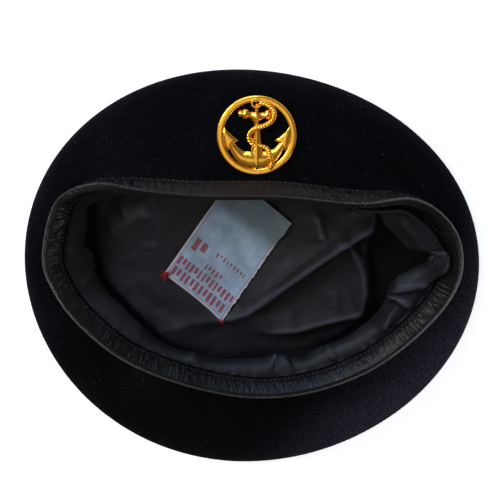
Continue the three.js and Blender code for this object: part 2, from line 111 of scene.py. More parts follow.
def smoothstep(value, low, high):
    """An even rise from 0 at the low value to 1 at the high one."""
    t = np.clip((value - low) / (high - low), 0, 1)
    return t * t * (3 - 2 * t)


def unit(vectors):
    return vectors / np.linalg.norm(vectors, axis=-1, keepdims=True)


def dot(a, b):
    return (a * b).sum(axis=-1, keepdims=True)


def between(a, b, c, d, t):
    """The smooth way from b to c, where a comes before them and d after them."""
    squared, cubed = 2 * a - 5 * b + 4 * c - d, 3 * b - a - 3 * c + d
    return b + 0.5 * ((c - a) * t + squared * t**2 + cubed * t**3)


def closed_curve(rows, u):
    """Points of the closed smooth curve through the rows, at the places u counted in rows."""
    rows = np.array(rows, float)
    step = np.floor(u).astype(int)
    t = (u - step)[:, None]
    return between(*(rows[(step + k) % len(rows)] for k in (-1, 0, 1, 2)), t)


def travelled(points):
    """How far it is along a line of points to each of them."""
    return np.concatenate([[0], np.cumsum(np.linalg.norm(np.diff(points, axis=0), axis=1))])


def turned(vectors, axes, angles):
    """The vectors turned about unit axes by angles in radians."""
    angles = np.reshape(angles, (-1, 1))
    across = np.cross(axes, vectors) * np.sin(angles)
    return vectors * np.cos(angles) + across + axes * dot(axes, vectors) * (1 - np.cos(angles))


def edge_radius(turn):
    """Distance from the middle to the widest edge of the crown."""
    skewed = turn - EDGE_SKEW
    oval = 1 / np.hypot(np.cos(skewed) / EDGE_HALF_X, np.sin(skewed) / EDGE_HALF_Y)
    return oval + EDGE_PEAR * np.cos(3 * (turn - EDGE_PEAR_AT)) + EDGE_MIDDLE_X * np.cos(turn)


def radial(turn, radius, height):
    """Points at a distance from the upright axis and at one height."""
    ones = np.ones_like(turn)
    return np.stack([radius * np.cos(turn), radius * np.sin(turn), height * ones], axis=-1)


class Meridians:
    """Lines across the edge of the head opening, evenly spaced along it."""

    def __init__(self, count):
        fine = np.linspace(0, len(RIM), 8001)
        travel = travelled(closed_curve(RIM, fine)[:, :3])
        self.length = travel[-1]
        self.travel = np.arange(count) * self.length / count
        u = np.interp(self.travel, travel, fine)
        at = closed_curve(RIM, u)
        self.rim, self.lean = at[:, :3], at[:, 3]
        self.along = unit((closed_curve(RIM, u + 0.02) - closed_curve(RIM, u - 0.02))[:, :3])
        outward = unit(np.cross(self.along, [0, 0, 1]))
        upright = np.cross(outward, self.along)
        tilt = np.radians(self.lean)[:, None]
        self.rise = outward * np.sin(tilt) + upright * np.cos(tilt)
        self.inward = -unit(np.cross(self.along, self.rise))
        self.turn = np.arctan2(self.rim[:, 1], self.rim[:, 0])
        self.bearing = np.degrees(self.turn)
        self.edge = edge_radius(self.turn)
        self.base = self.rim - self.rise * BAND_WIDTH


def grid_normals(rings):
    """Unit normals of a grid of rings, each of which runs anticlockwise round the beret."""
    around = np.roll(rings, -1, axis=1) - np.roll(rings, 1, axis=1)
    along = np.concatenate([rings[1:], rings[-1:]]) - np.concatenate([rings[:1], rings[:-1]])
    return unit(np.cross(along, around))


def soft_waves(points, length, seed, count=9):
    """An undulation of about -1 to 1 over the points, with waves of about that length."""
    draw = np.random.default_rng(seed)
    total = np.zeros(points.shape[:-1])
    for _ in range(count):
        direction = unit(draw.normal(size=3)) * draw.uniform(0.6, 1.6) * 2 * math.pi / length
        total += np.sin(points @ direction + draw.uniform(0, 2 * math.pi))
    return total / math.sqrt(count)


def ring_faces(ring_count, size, closed=False):
    """Four-sided faces between rings of that size, and from the last to the first if closed."""
    r = np.arange(ring_count if closed else ring_count - 1)[:, None]
    i = np.arange(size)[None, :]
    after, beside = (r + 1) % ring_count, (i + 1) % size
    corners = [r * size + i, r * size + beside, after * size + beside, after * size + i]
    return np.stack(np.broadcast_arrays(*corners), axis=-1).reshape(-1, 4).tolist()


def bag_mesh(rings, start_pole, end_pole):
    """Points and faces of a closed skin that runs through the rings from one pole to the other."""
    count, size = rings.shape[:2]
    points = np.concatenate([rings.reshape(-1, 3), [start_pole, end_pole]])
    start, end = len(points) - 2, len(points) - 1
    last = (count - 1) * size
    caps = [(start, (i + 1) % size, i) for i in range(size)]
    caps += [(end, last + i, last + (i + 1) % size) for i in range(size)]
    return points, ring_faces(count, size) + caps


# The frame's outline is centred over its origin, and every piece here follows it.
felt_low, felt_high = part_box("felt_crown")
bearings = np.radians(np.arange(0, 360, 0.25))
outline = radial(bearings, edge_radius(bearings), EDGE_HEIGHT)
TO_FRAME = np.array([(felt_low.x + felt_high.x) / 2 / MM, (felt_low.y + felt_high.y) / 2 / MM, 0])
TO_FRAME[:2] -= (outline.min(axis=0)[:2] + outline.max(axis=0)[:2]) / 2


def new_mesh(name, points, faces):
    """A closed mesh in metres, with its faces outward."""
    mesh = bpy.data.meshes.new(name)
    mesh.from_pydata((np.asarray(points, float) * MM).tolist(), [], faces)
    work = bmesh.new()
    work.from_mesh(mesh)
    bmesh.ops.recalc_face_normals(work, faces=work.faces)
    work.to_mesh(mesh)
    work.free()
    mesh.polygons.foreach_set("use_smooth", [True] * len(mesh.polygons))
    return mesh


def new_object(name, data):
    thing = bpy.data.objects.new(name, data)
    bpy.context.scene.collection.objects.link(thing)
    return thing


def new_piece(name, points, faces, material):
    """An object at the origin, with its place on the beret in its vertices."""
    piece = new_object(name, new_mesh(name, points + TO_FRAME, faces))
    piece.data.materials.append(material)
    return piece


def paint(mesh, name, values):
    """Stores one number for each vertex, for a material or a node tree to read."""
    attribute = mesh.attributes.new(name, "FLOAT", "POINT")
    attribute.data.foreach_set("value", np.asarray(values, np.float32).ravel())


def feed(tree, socket, value):
    """Links another node's output to the socket, or sets the socket to a plain value."""
    if isinstance(value, bpy.types.NodeSocket):
        tree.links.new(value, socket)
    elif socket.type == "RGBA":
        socket.default_value = (*value, 1)
    else:
        socket.default_value = value


def add_node(tree, kind, inputs=None, **settings):
    """A node with its settings, and what goes into each of its inputs."""
    node = tree.nodes.new(kind)
    for key, value in settings.items():
        setattr(node, key, value)
    for key, value in (inputs or {}).items():
        feed(tree, node.inputs[key], value)
    return node


def computed(tree, operation, *values):
    """The result of one Math node."""
    values = dict(enumerate(values))
    return add_node(tree, "ShaderNodeMath", values, operation=operation).outputs[0]


def new_tree(name, kind, inputs, output):
    """A node tree with named inputs and one output, and the nodes at its two ends."""
    tree = bpy.data.node_groups.new(name, kind)
    sockets = [(*each, "INPUT") for each in inputs] + [(*output, "OUTPUT")]
    for label, socket_type, way in sockets:
        tree.interface.new_socket(label, in_out=way, socket_type="NodeSocket" + socket_type)
    return tree, tree.nodes.new("NodeGroupInput"), tree.nodes.new("NodeGroupOutput")


def new_material(name, roughness, specular, metallic=0.0):
    """A material, its nodes, its shader and the place of each point in metres."""
    material = bpy.data.materials.new(name)
    material.use_nodes = True
    tree = material.node_tree
    shader = tree.nodes["Principled BSDF"]
    shader.inputs["Roughness"].default_value = roughness
    shader.inputs["Metallic"].default_value = metallic
    shader.inputs["Specular IOR Level"].default_value = specular
    place = add_node(tree, "ShaderNodeTexCoord").outputs["Object"]
    return material, tree, shader, place


def patches_group():
    """Soft uneven patches between two values, as in nap, hide, cloth, dye and tarnish."""
    tree, start, end = new_tree("patches", "ShaderNodeTree", [
        ("Place", "Vector"), ("Scale", "Float"), ("Detail", "Float"), ("Low", "Float"),
        ("High", "Float")], ("Value", "Float"))
    noise = add_node(tree, "ShaderNodeTexNoise", {
        "Vector": start.outputs["Place"], "Scale": start.outputs["Scale"],
        "Detail": start.outputs["Detail"], "Roughness": 0.6})
    spread = add_node(tree, "ShaderNodeMapRange", {
        "Value": noise.outputs["Fac"], "From Min": 0.32, "From Max": 0.68,
        "To Min": start.outputs["Low"], "To Max": start.outputs["High"]})
    tree.links.new(spread.outputs["Result"], end.inputs["Value"])
    return tree


PATCHES = patches_group()


def patches(tree, place, scale, low=0.0, high=1.0, detail=2.0):
    """Patches of about 1 / scale metres."""
    group = add_node(tree, "ShaderNodeGroup", node_tree=PATCHES)
    sizes = {"Place": place, "Scale": scale, "Detail": detail, "Low": low, "High": high}
    for key, value in sizes.items():
        feed(tree, group.inputs[key], value)
    return group.outputs["Value"]


def blended(tree, mask, first, second):
    """The first colour where the mask is 0, and the second where it is 1."""
    mix = add_node(tree, "ShaderNodeMix", data_type="RGBA")
    socket = {each.identifier: each for each in mix.inputs}
    feed(tree, socket["Factor_Float"], mask)
    feed(tree, socket["A_Color"], first)
    feed(tree, socket["B_Color"], second)
    return next(each for each in mix.outputs if each.identifier == "Result_Color")


def coloured(tree, shader, mask, first, second):
    """Gives the shader the first colour where the mask is 0, and the second where it is 1."""
    feed(tree, shader.inputs["Base Color"], blended(tree, mask, first, second))


def painted(tree, name):
    """The number that paint() stored under the name."""
    return add_node(tree, "ShaderNodeAttribute", attribute_name=name).outputs["Fac"]


def bumped(tree, shader, height, depth):
    """Gives the shader a relief of that depth in metres."""
    bump = add_node(tree, "ShaderNodeBump", {"Height": height, "Strength": 1.0, "Distance": depth})
    feed(tree, shader.inputs["Normal"], bump.outputs["Normal"])


def felt_material():
    material, tree, shader, place = new_material("wool_felt", roughness=0.95, specular=0.04)
    grain = patches(tree, place, 750, detail=5)
    dark = blended(tree, grain, (0.0003, 0.0003, 0.0004), (0.0038, 0.0037, 0.0048))
    # Painted sheen: the paler colour stands in for light skimming the felt at the rear right.
    pale = blended(tree, grain, (0.0090, 0.0085, 0.0130), (0.0520, 0.0480, 0.0700))
    coloured(tree, shader, painted(tree, "faded"), dark, pale)
    bumped(tree, shader, patches(tree, place, 1500, detail=3), 0.00035)
    shader.inputs["Sheen Weight"].default_value = 0.022
    shader.inputs["Sheen Roughness"].default_value = 0.4
    shader.inputs["Sheen Tint"].default_value = (0.75, 0.75, 1, 1)
    return material


badge_normal = np.array([0, -math.sin(BADGE_SLOPE), math.cos(BADGE_SLOPE)])


def seated(points, share):
    """The felt is pressed flat behind the badge, and is free again where it meets the binding."""
    offset = points - BADGE_PLACE
    height = dot(offset, badge_normal)
    away = np.linalg.norm(offset - height * badge_normal, axis=-1, keepdims=True)
    hold = (1 - smoothstep(away, SEAT_FLAT, SEAT_BLEND)) * (1 - smoothstep(share, 0.88, 1))
    return points - badge_normal * height * hold


def felt_outer_rings(m, roll_steps=12, side_steps=30):
    """The outside of the felt: flat crown, rolled edge, underside, and the band of the opening."""
    flat = m.edge - ROLL_DEPTH
    rings = [radial(m.turn, flat * share, 0) for share in (0.15, 0.4, 0.65, 0.85, 1)]
    for k in range(1, roll_steps + 1):
        a = k / roll_steps * math.pi / 2
        reach = m.edge - ROLL_DEPTH * (1 - math.sin(a))
        rings.append(radial(m.turn, reach, EDGE_HEIGHT * (1 - math.cos(a))))
    edge = radial(m.turn, m.edge, EDGE_HEIGHT)
    reach = np.linalg.norm(edge - m.base, axis=1, keepdims=True)
    bend = np.radians(BEND) * smoothstep(-m.lean, BEND_FROM, BEND_FULL)
    leave = turned(m.rise, m.along, -bend)
    up = edge + [0, 0, SHOULDER]
    foot = m.base - leave * np.minimum(FOOT_PULL, FOOT_SHARE * reach)
    for k in range(1, side_steps + 1):
        t = k / side_steps
        curve = (1 - t)**3 * edge + 3 * (1 - t)**2 * t * up
        curve = curve + 3 * (1 - t) * t**2 * foot + t**3 * m.base
        dents = soft_waves(curve, DENT_LENGTH, seed=3) * DENT_DEPTH
        dents = dents * smoothstep(t, 0, 0.3) * (1 - smoothstep(t, 0.7, 1))
        rings.append(seated(curve + dents[:, None] * [0, 0, 1], t))
    rings.append(m.rim - m.rise * BAND_WIDTH / 2)
    rings.append(m.rim)
    return np.array(rings)


def faded(points):
    """How much painted sheen the felt takes, from 0 to 1: most of all at the right, and there at
    the rear.
    """
    side = (points[..., 1] * 0.6 - points[..., 0] * 0.8) / EDGE_HALF_Y
    mottled = 0.02 * soft_waves(points, 60, seed=12)**2
    return np.minimum(smoothstep(side, SHEEN_FROM, SHEEN_FULL) * 0.95 + mottled, 1)


def nap_growth(outer):
    """Where fibres show: on the free outside, above the pressed part, beside binding and badge."""
    growth = smoothstep(outer[..., 2], NAP_FROM, NAP_FROM + 2)
    growth[-3:] = 0
    away = np.linalg.norm(outer - BADGE_PLACE, axis=-1)
    return growth * smoothstep(away, SEAT_FLAT, SEAT_FLAT + 1)


def felt_crown(columns=420):
    m = Meridians(columns)
    outer = felt_outer_rings(m)
    inner = outer + grid_normals(outer) * FELT_WALL
    inner[-3:] = outer[-3:] + m.inward * BAND_WALL
    rings = np.concatenate([outer, inner[::-1]])
    points, faces = bag_mesh(rings, [0, 0, 0], [0, 0, FELT_WALL])
    piece = new_piece("felt_body", points, faces, felt_material())
    bare = np.zeros(inner[..., 0].size + 2)
    paint(piece.data, "growth", np.concatenate([nap_growth(outer).ravel(), bare]))
    # Painted sheen: the felt is lighter towards the rear right.
    paint(piece.data, "faded", faded(points))
    return piece


crown = felt_crown()
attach(crown, "root")
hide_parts("felt_crown")


def set_out(tree, start, end, shape, places):
    """Ends a node tree: a copy of the shape at each point, made real and given its material."""
    pattern = add_node(tree, "GeometryNodeObjectInfo", {"Object": start.outputs[shape]})
    copies = add_node(tree, "GeometryNodeInstanceOnPoints", {
        **places, "Instance": pattern.outputs["Geometry"]})
    real = add_node(tree, "GeometryNodeRealizeInstances", {"Geometry": copies.outputs["Instances"]})
    dressed = add_node(tree, "GeometryNodeSetMaterial", {
        "Geometry": real.outputs["Geometry"], "Material": start.outputs["Material"]})
    tree.links.new(dressed.outputs["Geometry"], end.inputs[0])


def scatter_tree():
    """Strews copies of one fibre over a mesh, as densely as its painted growth says."""
    tree, start, end = new_tree("scatter_fibres", "GeometryNodeTree", [
        ("Ground", "Geometry"), ("Fibre", "Object"), ("Material", "Material"),
        ("Density", "Float"), ("Lean", "Float"), ("Shortest", "Float"), ("Longest", "Float"),
        ("Seed", "Int")], ("Fibres", "Geometry"))
    lean, seed = start.outputs["Lean"], start.outputs["Seed"]
    growth = add_node(tree, "GeometryNodeInputNamedAttribute", {"Name": "growth"},
                      data_type="FLOAT")
    density = computed(tree, "MULTIPLY", growth.outputs["Attribute"], start.outputs["Density"])
    spots = add_node(tree, "GeometryNodeDistributePointsOnFaces", {
        "Mesh": start.outputs["Ground"], "Density": density, "Seed": seed})
    opposite = computed(tree, "MULTIPLY", lean, -1.0)
    lowest = add_node(tree, "ShaderNodeCombineXYZ", {"X": opposite, "Y": opposite, "Z": -math.pi})
    highest = add_node(tree, "ShaderNodeCombineXYZ", {"X": lean, "Y": lean, "Z": math.pi})
    angles = add_node(tree, "FunctionNodeRandomValue", {
        0: lowest.outputs[0], 1: highest.outputs[0], "Seed": seed}, data_type="FLOAT_VECTOR")
    tipped = add_node(tree, "FunctionNodeEulerToRotation", {0: angles.outputs[0]})
    turn = add_node(tree, "FunctionNodeRotateRotation", {
        0: spots.outputs["Rotation"], 1: tipped.outputs[0]}, rotation_space="LOCAL")
    length = add_node(tree, "FunctionNodeRandomValue", {
        2: start.outputs["Shortest"], 3: start.outputs["Longest"], "Seed": seed},
        data_type="FLOAT")
    set_out(tree, start, end, "Fibre", {
        "Points": spots.outputs["Points"], "Rotation": turn.outputs[0],
        "Scale": length.outputs[1]})
    return tree


def made_by(tree, name, ground, **inputs):
    """A plain mesh piece of what the node tree makes on a copy of the ground mesh."""
    piece = new_object(name, ground.copy())
    modifier = piece.modifiers.new(name, "NODES")
    modifier.node_group = tree
    for item in tree.interface.items_tree:
        if item.in_out == "INPUT" and item.name in inputs:
            modifier[item.identifier] = inputs[item.name]
    result = piece.evaluated_get(bpy.context.evaluated_depsgraph_get())
    mesh = bpy.data.meshes.new_from_object(result)
    piece.modifiers.clear()
    piece.data = mesh
    return piece


def straight_fibre(thickness):
    """A three-sided spike one millimetre long, for the nap."""
    turns = np.radians([0, 120, 240])
    foot = np.stack([thickness * np.cos(turns), thickness * np.sin(turns), 0 * turns], axis=-1)
    points = np.concatenate([foot, [[0, 0, 1]]])
    faces = [(2, 1, 0), (0, 1, 3), (1, 2, 3), (2, 0, 3)]
    return new_object("spike", new_mesh("spike", points, faces))


def curled_fibre(thickness, steps=7):
    """A three-sided hair about one millimetre long that curls back to the surface."""
    turns = np.radians([0, 120, 240])
    rings = []
    for k in range(steps):
        a = k / (steps - 1) * math.pi * 0.85
        lift = 0.42 * math.sin(a) + 0.02
        middle = np.array([0.5 - 0.5 * math.cos(a), 0.12 * math.sin(2 * a), lift])
        out, side = np.array([math.cos(a), 0, -math.sin(a)]), np.array([0, 1, 0])
        rings.append([middle + thickness * (out * math.cos(t) + side * math.sin(t)) for t in turns])
    rings = np.array(rings)
    points, faces = bag_mesh(rings, rings[0].mean(axis=0), rings[-1].mean(axis=0))
    return new_object("curl", new_mesh("curl", points, faces))


def lint_material():
    material, tree, shader, place = new_material("pale_lint", roughness=0.9, specular=0.1)
    coloured(tree, shader, patches(tree, place, 60), (0.05, 0.05, 0.055), (0.22, 0.22, 0.22))
    return material


SCATTER = scatter_tree()
spike = straight_fibre(thickness=0.05)
curl = curled_fibre(thickness=0.06)
nap = made_by(SCATTER, "felt_nap", crown.data, Fibre=spike, Material=crown.data.materials[0],
              Density=1.0e6, Lean=1.15, Shortest=0.5, Longest=1.0, Seed=11)
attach(nap, "root")
lint = made_by(SCATTER, "felt_lint", crown.data, Fibre=curl, Material=lint_material(),
               Density=11000.0, Lean=0.3, Shortest=0.25, Longest=1.0, Seed=5)
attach(lint, "root")

# -------------------------------------------------------------------------------------------- badge
# The badge is a gilt brass ring round a fouled anchor: die-struck, pierced, ridged on the shank and
# arms, with a rope that winds round them. Two shanks hold it to a plain steel bar inside the felt.

RING_RADIUS, RING_WIDTH = 19.3, 3.3
STRAND_RADIUS, STRAND_OFFSET, STRAND_PITCH = 0.72, 0.62, 4.3
SHACKLE_MIDDLE, SHACKLE_RADIUS, SHACKLE_WIRE = (-0.2, 15.6, 1.1), 2.1, 0.62

# Places on the badge run from its middle, with x to its right, y to its top and z off the felt.
Station = namedtuple("Station", "x y half height")
Corner = namedtuple("Corner", "x y")
Turn = namedtuple("Turn", "x y z")
SHANK = [
    Station(0, -16.9, 0.2, 1.5), Station(0, -15.2, 1.8, 2.1), Station(0, -12.6, 3.5, 2.6),
    Station(0, -9.6, 3.6, 2.8), Station(0, -7.2, 2.9, 2.8), Station(0, -4.7, 2.3, 2.7),
    Station(0, -1, 2.05, 2.6), Station(0, 3, 1.75, 2.5), Station(0, 6, 1.35, 2.4),
    Station(0, 9, 1, 2.4), Station(0, 15.2, 0.9, 2),
]
ARM = [
    Station(0, -11.7, 4.3, 2.4), Station(2.6, -11.6, 4, 2.4), Station(4.6, -11.2, 3.7, 2.3),
    Station(6.8, -10.5, 3.2, 2.2), Station(9, -8.7, 2.6, 2), Station(10.8, -6.5, 2, 1.9),
    Station(12.2, -4.2, 1.5, 1.8), Station(13.8, -1.5, 1, 1.6),
]
STOCK = [
    Station(-8.9, 10.6, 1.4, 1.5), Station(-8.5, 10.6, 1.8, 1.9), Station(-6.7, 10.4, 1.7, 1.9),
    Station(-6.4, 10.4, 2.4, 2.3), Station(-4.4, 10.2, 2.4, 2.4), Station(-4.1, 10.1, 1.6, 2),
    Station(-2.4, 9.8, 1.7, 2.2), Station(-1.1, 9.1, 2.5, 2.5), Station(0, 8.7, 2.9, 2.7),
    Station(1.1, 9, 2.5, 2.5), Station(2.4, 9.5, 1.7, 2.2), Station(4.1, 9.8, 1.6, 2),
    Station(4.4, 9.9, 2.4, 2.4), Station(6.4, 10, 2.4, 2.3), Station(6.7, 10.1, 1.7, 1.9),
    Station(8.5, 10.2, 1.8, 1.9), Station(8.9, 10.2, 1.4, 1.5),
]
FLUKE = [
    Corner(15.9, 4.5), Corner(14.4, 2.4), Corner(12.5, 0.9), Corner(10.4, -1), Corner(8.5, -2.5),
    Corner(10.7, -3.4), Corner(12.1, -5.4), Corner(13.1, -6.9), Corner(14, -7.4),
    Corner(15.3, -5.2), Corner(16.2, -2.2), Corner(16.6, 1),
]
ROPE = [
    Turn(1.2, 15.6, 1.6), Turn(4.6, 15.1, 1.5), Turn(7.1, 13.1, 1.7), Turn(8.5, 10.6, 2.7),
    Turn(7.8, 7.5, 1.9), Turn(4.6, 5.2, 2), Turn(0.7, 4, 3.1), Turn(-2.2, 2.4, 2.4),
    Turn(-3.7, -0.1, 1.5), Turn(-3.2, -2.6, 1.3), Turn(-1.2, -4.4, 1), Turn(2.7, -5.2, 1.3),
    Turn(5.1, -6.5, 1.7), Turn(6.6, -9.8, 2.9), Turn(7.6, -12.8, 2.1), Turn(6.6, -15.9, 1.7),
]


def on_badge(points):
    """Places on the badge as places on the beret."""
    x, y, z = np.moveaxis(np.asarray(points, float), -1, 0)
    front = -y * math.cos(BADGE_SLOPE) - (z + FIT_GAP) * math.sin(BADGE_SLOPE)
    lift = -y * math.sin(BADGE_SLOPE) + (z + FIT_GAP) * math.cos(BADGE_SLOPE)
    return np.stack([-x, front, lift], axis=-1) + BADGE_PLACE


def open_curve(rows, count):
    """So many points of the open smooth curve through the rows."""
    rows = np.array(rows, float)
    padded = np.concatenate([[2 * rows[0] - rows[1]], rows, [2 * rows[-1] - rows[-2]]])
    u = np.linspace(1, len(rows), count)
    step = np.minimum(np.floor(u).astype(int), len(rows) - 1)
    t = (u - step)[:, None]
    return between(*(padded[step + k] for k in (-1, 0, 1, 2)), t)


def merged(shells):
    """The points and faces of several closed shells as one list of each."""
    points, faces = [], []
    for shell_points, shell_faces in shells:
        first = sum(len(each) for each in points)
        points.append(np.asarray(shell_points, float))
        faces += [[first + k for k in face] for face in shell_faces]
    return np.concatenate(points), faces


def struck_bar(stations):
    """A closed bar with upright sides and a sharp ridge, through stations along its length."""
    stations = np.array(stations, float)
    along = np.gradient(stations[:, :2], axis=0)
    across = unit(np.stack([-along[:, 1], along[:, 0]], axis=-1))
    sections = []
    for (x, y, half, height), side in zip(stations, across):
        profile = [(-1, 0.1), (-1, height * 0.42), (-0.93, height * 0.52), (-0.07, height),
                   (0.07, height), (0.93, height * 0.52), (1, height * 0.42), (1, 0.1)]
        sections.append([(x + side[0] * half * s, y + side[1] * half * s, z) for s, z in profile])
    sections = np.array(sections)
    return bag_mesh(sections, sections[0].mean(axis=0), sections[-1].mean(axis=0))


def struck_palm(outline, low=0.1, edge=0.9, top=1.7):
    """A closed plate with a bevelled edge that rises to a ridge along its middle."""
    outline = np.array(outline, float)
    middle = outline.mean(axis=0)
    rings = []
    for pull, height in ((0, low), (0, edge), (0.09, edge + 0.35), (0.45, top), (0.8, top + 0.1)):
        ring = outline + (middle - outline) * pull
        rings.append(np.column_stack([ring, np.full(len(ring), height)]))
    return bag_mesh(np.array(rings), [*middle, low], [*middle, top + 0.1])


def round_turns(count):
    """Angles in radians, evenly spaced round a full turn."""
    return np.linspace(0, 2 * math.pi, count, endpoint=False)


def square_to(along):
    """Two directions square to a line and to each other, for each of its points."""
    across = unit(np.cross(along, [0.13, 0.07, 1]))
    return across, np.cross(across, along)


def tube(path, radius, sides, closed=False):
    """A round wire along the path, closed at its ends or joined end to end."""
    path = np.asarray(path, float)
    if closed:
        along = unit(np.roll(path, -1, axis=0) - np.roll(path, 1, axis=0))
    else:
        along = unit(np.gradient(path, axis=0))
    across, over = square_to(along)
    turns = round_turns(sides)[None, :, None]
    spokes = across[:, None] * np.cos(turns) + over[:, None] * np.sin(turns)
    rings = path[:, None] + radius * spokes
    if closed:
        return rings.reshape(-1, 3), ring_faces(len(path), sides, closed=True)
    return bag_mesh(rings, path[0], path[-1])


def struck_ring():
    """The ring: a flat face with rounded shoulders."""
    profile = [(0, 0), (1, 0), (1, 0.85), (0.95, 1.25), (0.8, 1.55), (0.62, 1.62), (0.36, 1.62),
               (0.18, 1.5), (0.06, 1.15), (0, 0.8)]
    turns = round_turns(160)
    rings = [radial(turns, RING_RADIUS - RING_WIDTH * (1 - across), height)
             for across, height in profile]
    points = np.array(rings).transpose(1, 0, 2)
    return points.reshape(-1, 3), ring_faces(len(turns), len(profile), closed=True)


def rope_strands():
    """Three strands laid round each other along the rope's path."""
    path = open_curve(ROPE, 260)
    across, over = square_to(unit(np.gradient(path, axis=0)))
    strands = []
    for k in range(3):
        angle = (travelled(path) / STRAND_PITCH + k / 3)[:, None] * 2 * math.pi
        laid = path + STRAND_OFFSET * (across * np.cos(angle) + over * np.sin(angle))
        strands.append(tube(laid, STRAND_RADIUS, 8))
    return strands


def badge_shells():
    """The ring, shank, stock, two arms with their flukes, shackle and rope."""
    shells = [struck_ring(), struck_bar(open_curve(SHANK, 40)), struck_bar(STOCK)]
    for side in (-1, 1):
        mirror = np.array([side, 1, 1, 1])
        shells.append(struck_bar(open_curve(ARM, 24) * mirror))
        shells.append(struck_palm([(side * x, y) for x, y in FLUKE]))
    shackle = np.array(SHACKLE_MIDDLE) + radial(round_turns(40), SHACKLE_RADIUS, 0)
    shells.append(tube(shackle, SHACKLE_WIRE, 10, closed=True))
    return shells + rope_strands()


def gilt_material():
    material, tree, shader, place = new_material("gilt_brass", 0.24, specular=0.5, metallic=1)
    tarnish = patches(tree, place, 500, detail=3)
    bright = blended(tree, tarnish, (1.0, 0.53, 0.07), (1.0, 0.43, 0.035))
    coloured(tree, shader, painted(tree, "recess"), bright, (0.10, 0.035, 0.006))
    feed(tree, shader.inputs["Roughness"], patches(tree, place, 900, 0.15, 0.28, detail=4))
    bumped(tree, shader, patches(tree, place, 500), 0.00002)
    return material


def fouled_anchor():
    points, faces = merged(badge_shells())
    piece = new_piece("fouled_anchor_badge", on_badge(points), faces, gilt_material())
    inside = np.hypot(points[:, 0], points[:, 1]) < RING_RADIUS - 0.2
    paint(piece.data, "recess", (1 - smoothstep(points[:, 2], 0.2, 0.7)) * inside)
    return piece


badge = fouled_anchor()
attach(badge, "root")
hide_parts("badge")


def steel_material():
    material, tree, shader, place = new_material("spring_steel", 0.35, specular=0.5, metallic=1)
    shade = patches(tree, place, 250, detail=4)
    coloured(tree, shader, shade, (0.42, 0.42, 0.43), (0.6, 0.6, 0.6))
    feed(tree, shader.inputs["Roughness"], patches(tree, place, 700, 0.28, 0.45))
    brushing = add_node(tree, "ShaderNodeMapping", {"Vector": place, "Scale": (60, 2500, 2500)})
    bumped(tree, shader, patches(tree, brushing.outputs["Vector"], 1), 0.00002)
    return material


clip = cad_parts["badge_clip"]
clip.data.materials.clear()
clip.data.materials.append(steel_material())

# ------------------------------------------------------------------------------------------- lining
# The lining is loose black sateen in two pieces, cut with cloth to spare. The side is gathered to
# the binding and turns back under itself; the crown piece lies crumpled on the felt inside it.

CLOTH = 1.0
CAVITY_INSET = 17              # the room inside the rolled edge ends this far in from the outline
FLOOR_LEVEL = 5.8              # the crown piece's level at its edge, and under the side
FLOOR_SWELL = 4.0              # how far the loose crown piece puffs up under the opening
FLOOR_DIP = 2                  # and how far it may sink under that level
CURL_RADIUS = 1.3              # of the turn at the side's lip
SEAM_IN, SEAM_DROP = 2.45, 0.45
GATHER_PITCH, GATHER_COUNT, GATHER_DEPTH = 3.1, 176, 1.3
BELLY = 1.4
RETURN_LEVEL, RETURN_INSET = 18, 8     # the side's way back under itself, in from the band

# The hem under the felt: how far out from the room's own edge, and its height.
HemRow = namedtuple("HemRow", "outward level")
HEM = [HemRow(0, 11.5), HemRow(0.8, 9.4), HemRow(0.4, 7.7)]

# The lip of the hanging side: bearing in degrees, distance from the middle, and height.
Lip = namedtuple("Lip", "bearing radius level")
LIPS = [
    Lip(-28, 94.4, 23), Lip(-22.7, 91.4, 22), Lip(-12.5, 89.8, 22), Lip(-11.5, 85.5, 21),
    Lip(-7.6, 82.6, 20), Lip(-4, 84, 21), Lip(-3.3, 82.5, 21), Lip(0.6, 79.4, 20),
    Lip(10.9, 70, 20), Lip(21, 64.5, 20), Lip(33.6, 60, 20), Lip(39, 57.7, 20), Lip(53, 52.4, 20),
    Lip(67.6, 48.3, 20), Lip(82, 45.8, 20), Lip(92, 45, 20), Lip(102, 45, 20), Lip(111, 45.2, 21),
    Lip(113, 45.8, 21), Lip(114.2, 48.2, 20), Lip(123, 51.4, 20), Lip(134, 52, 20),
    Lip(147, 59, 20), Lip(158, 64.3, 19), Lip(166, 69.5, 18.5), Lip(173.8, 72.5, 18),
    Lip(176.9, 72.8, 19), Lip(179.6, 74.1, 20), Lip(182, 78, 21), Lip(185.6, 85.6, 23),
    Lip(188.2, 91.7, 25), Lip(191.4, 92.5, 28), Lip(192.6, 96, 32), Lip(193.4, 97.5, 33.5),
    Lip(194.2, 95, 30.5), Lip(194.9, 92.2, 25), Lip(196.2, 82.9, 24), Lip(201, 79.5, 24),
    Lip(207.7, 76.6, 25), Lip(214, 77, 27), Lip(222, 68, 28), Lip(240, 59, 29), Lip(270, 52, 29.5),
    Lip(300, 61, 28), Lip(315, 74, 27), Lip(322, 84, 24),
]

# How far the side billows up over the inner face of the binding, which it hides at the right end.
COVER_FROM, COVER_TO = (182, 191), (223, 234)
COVER_RISE, COVER_IN = 7.2, 3.3

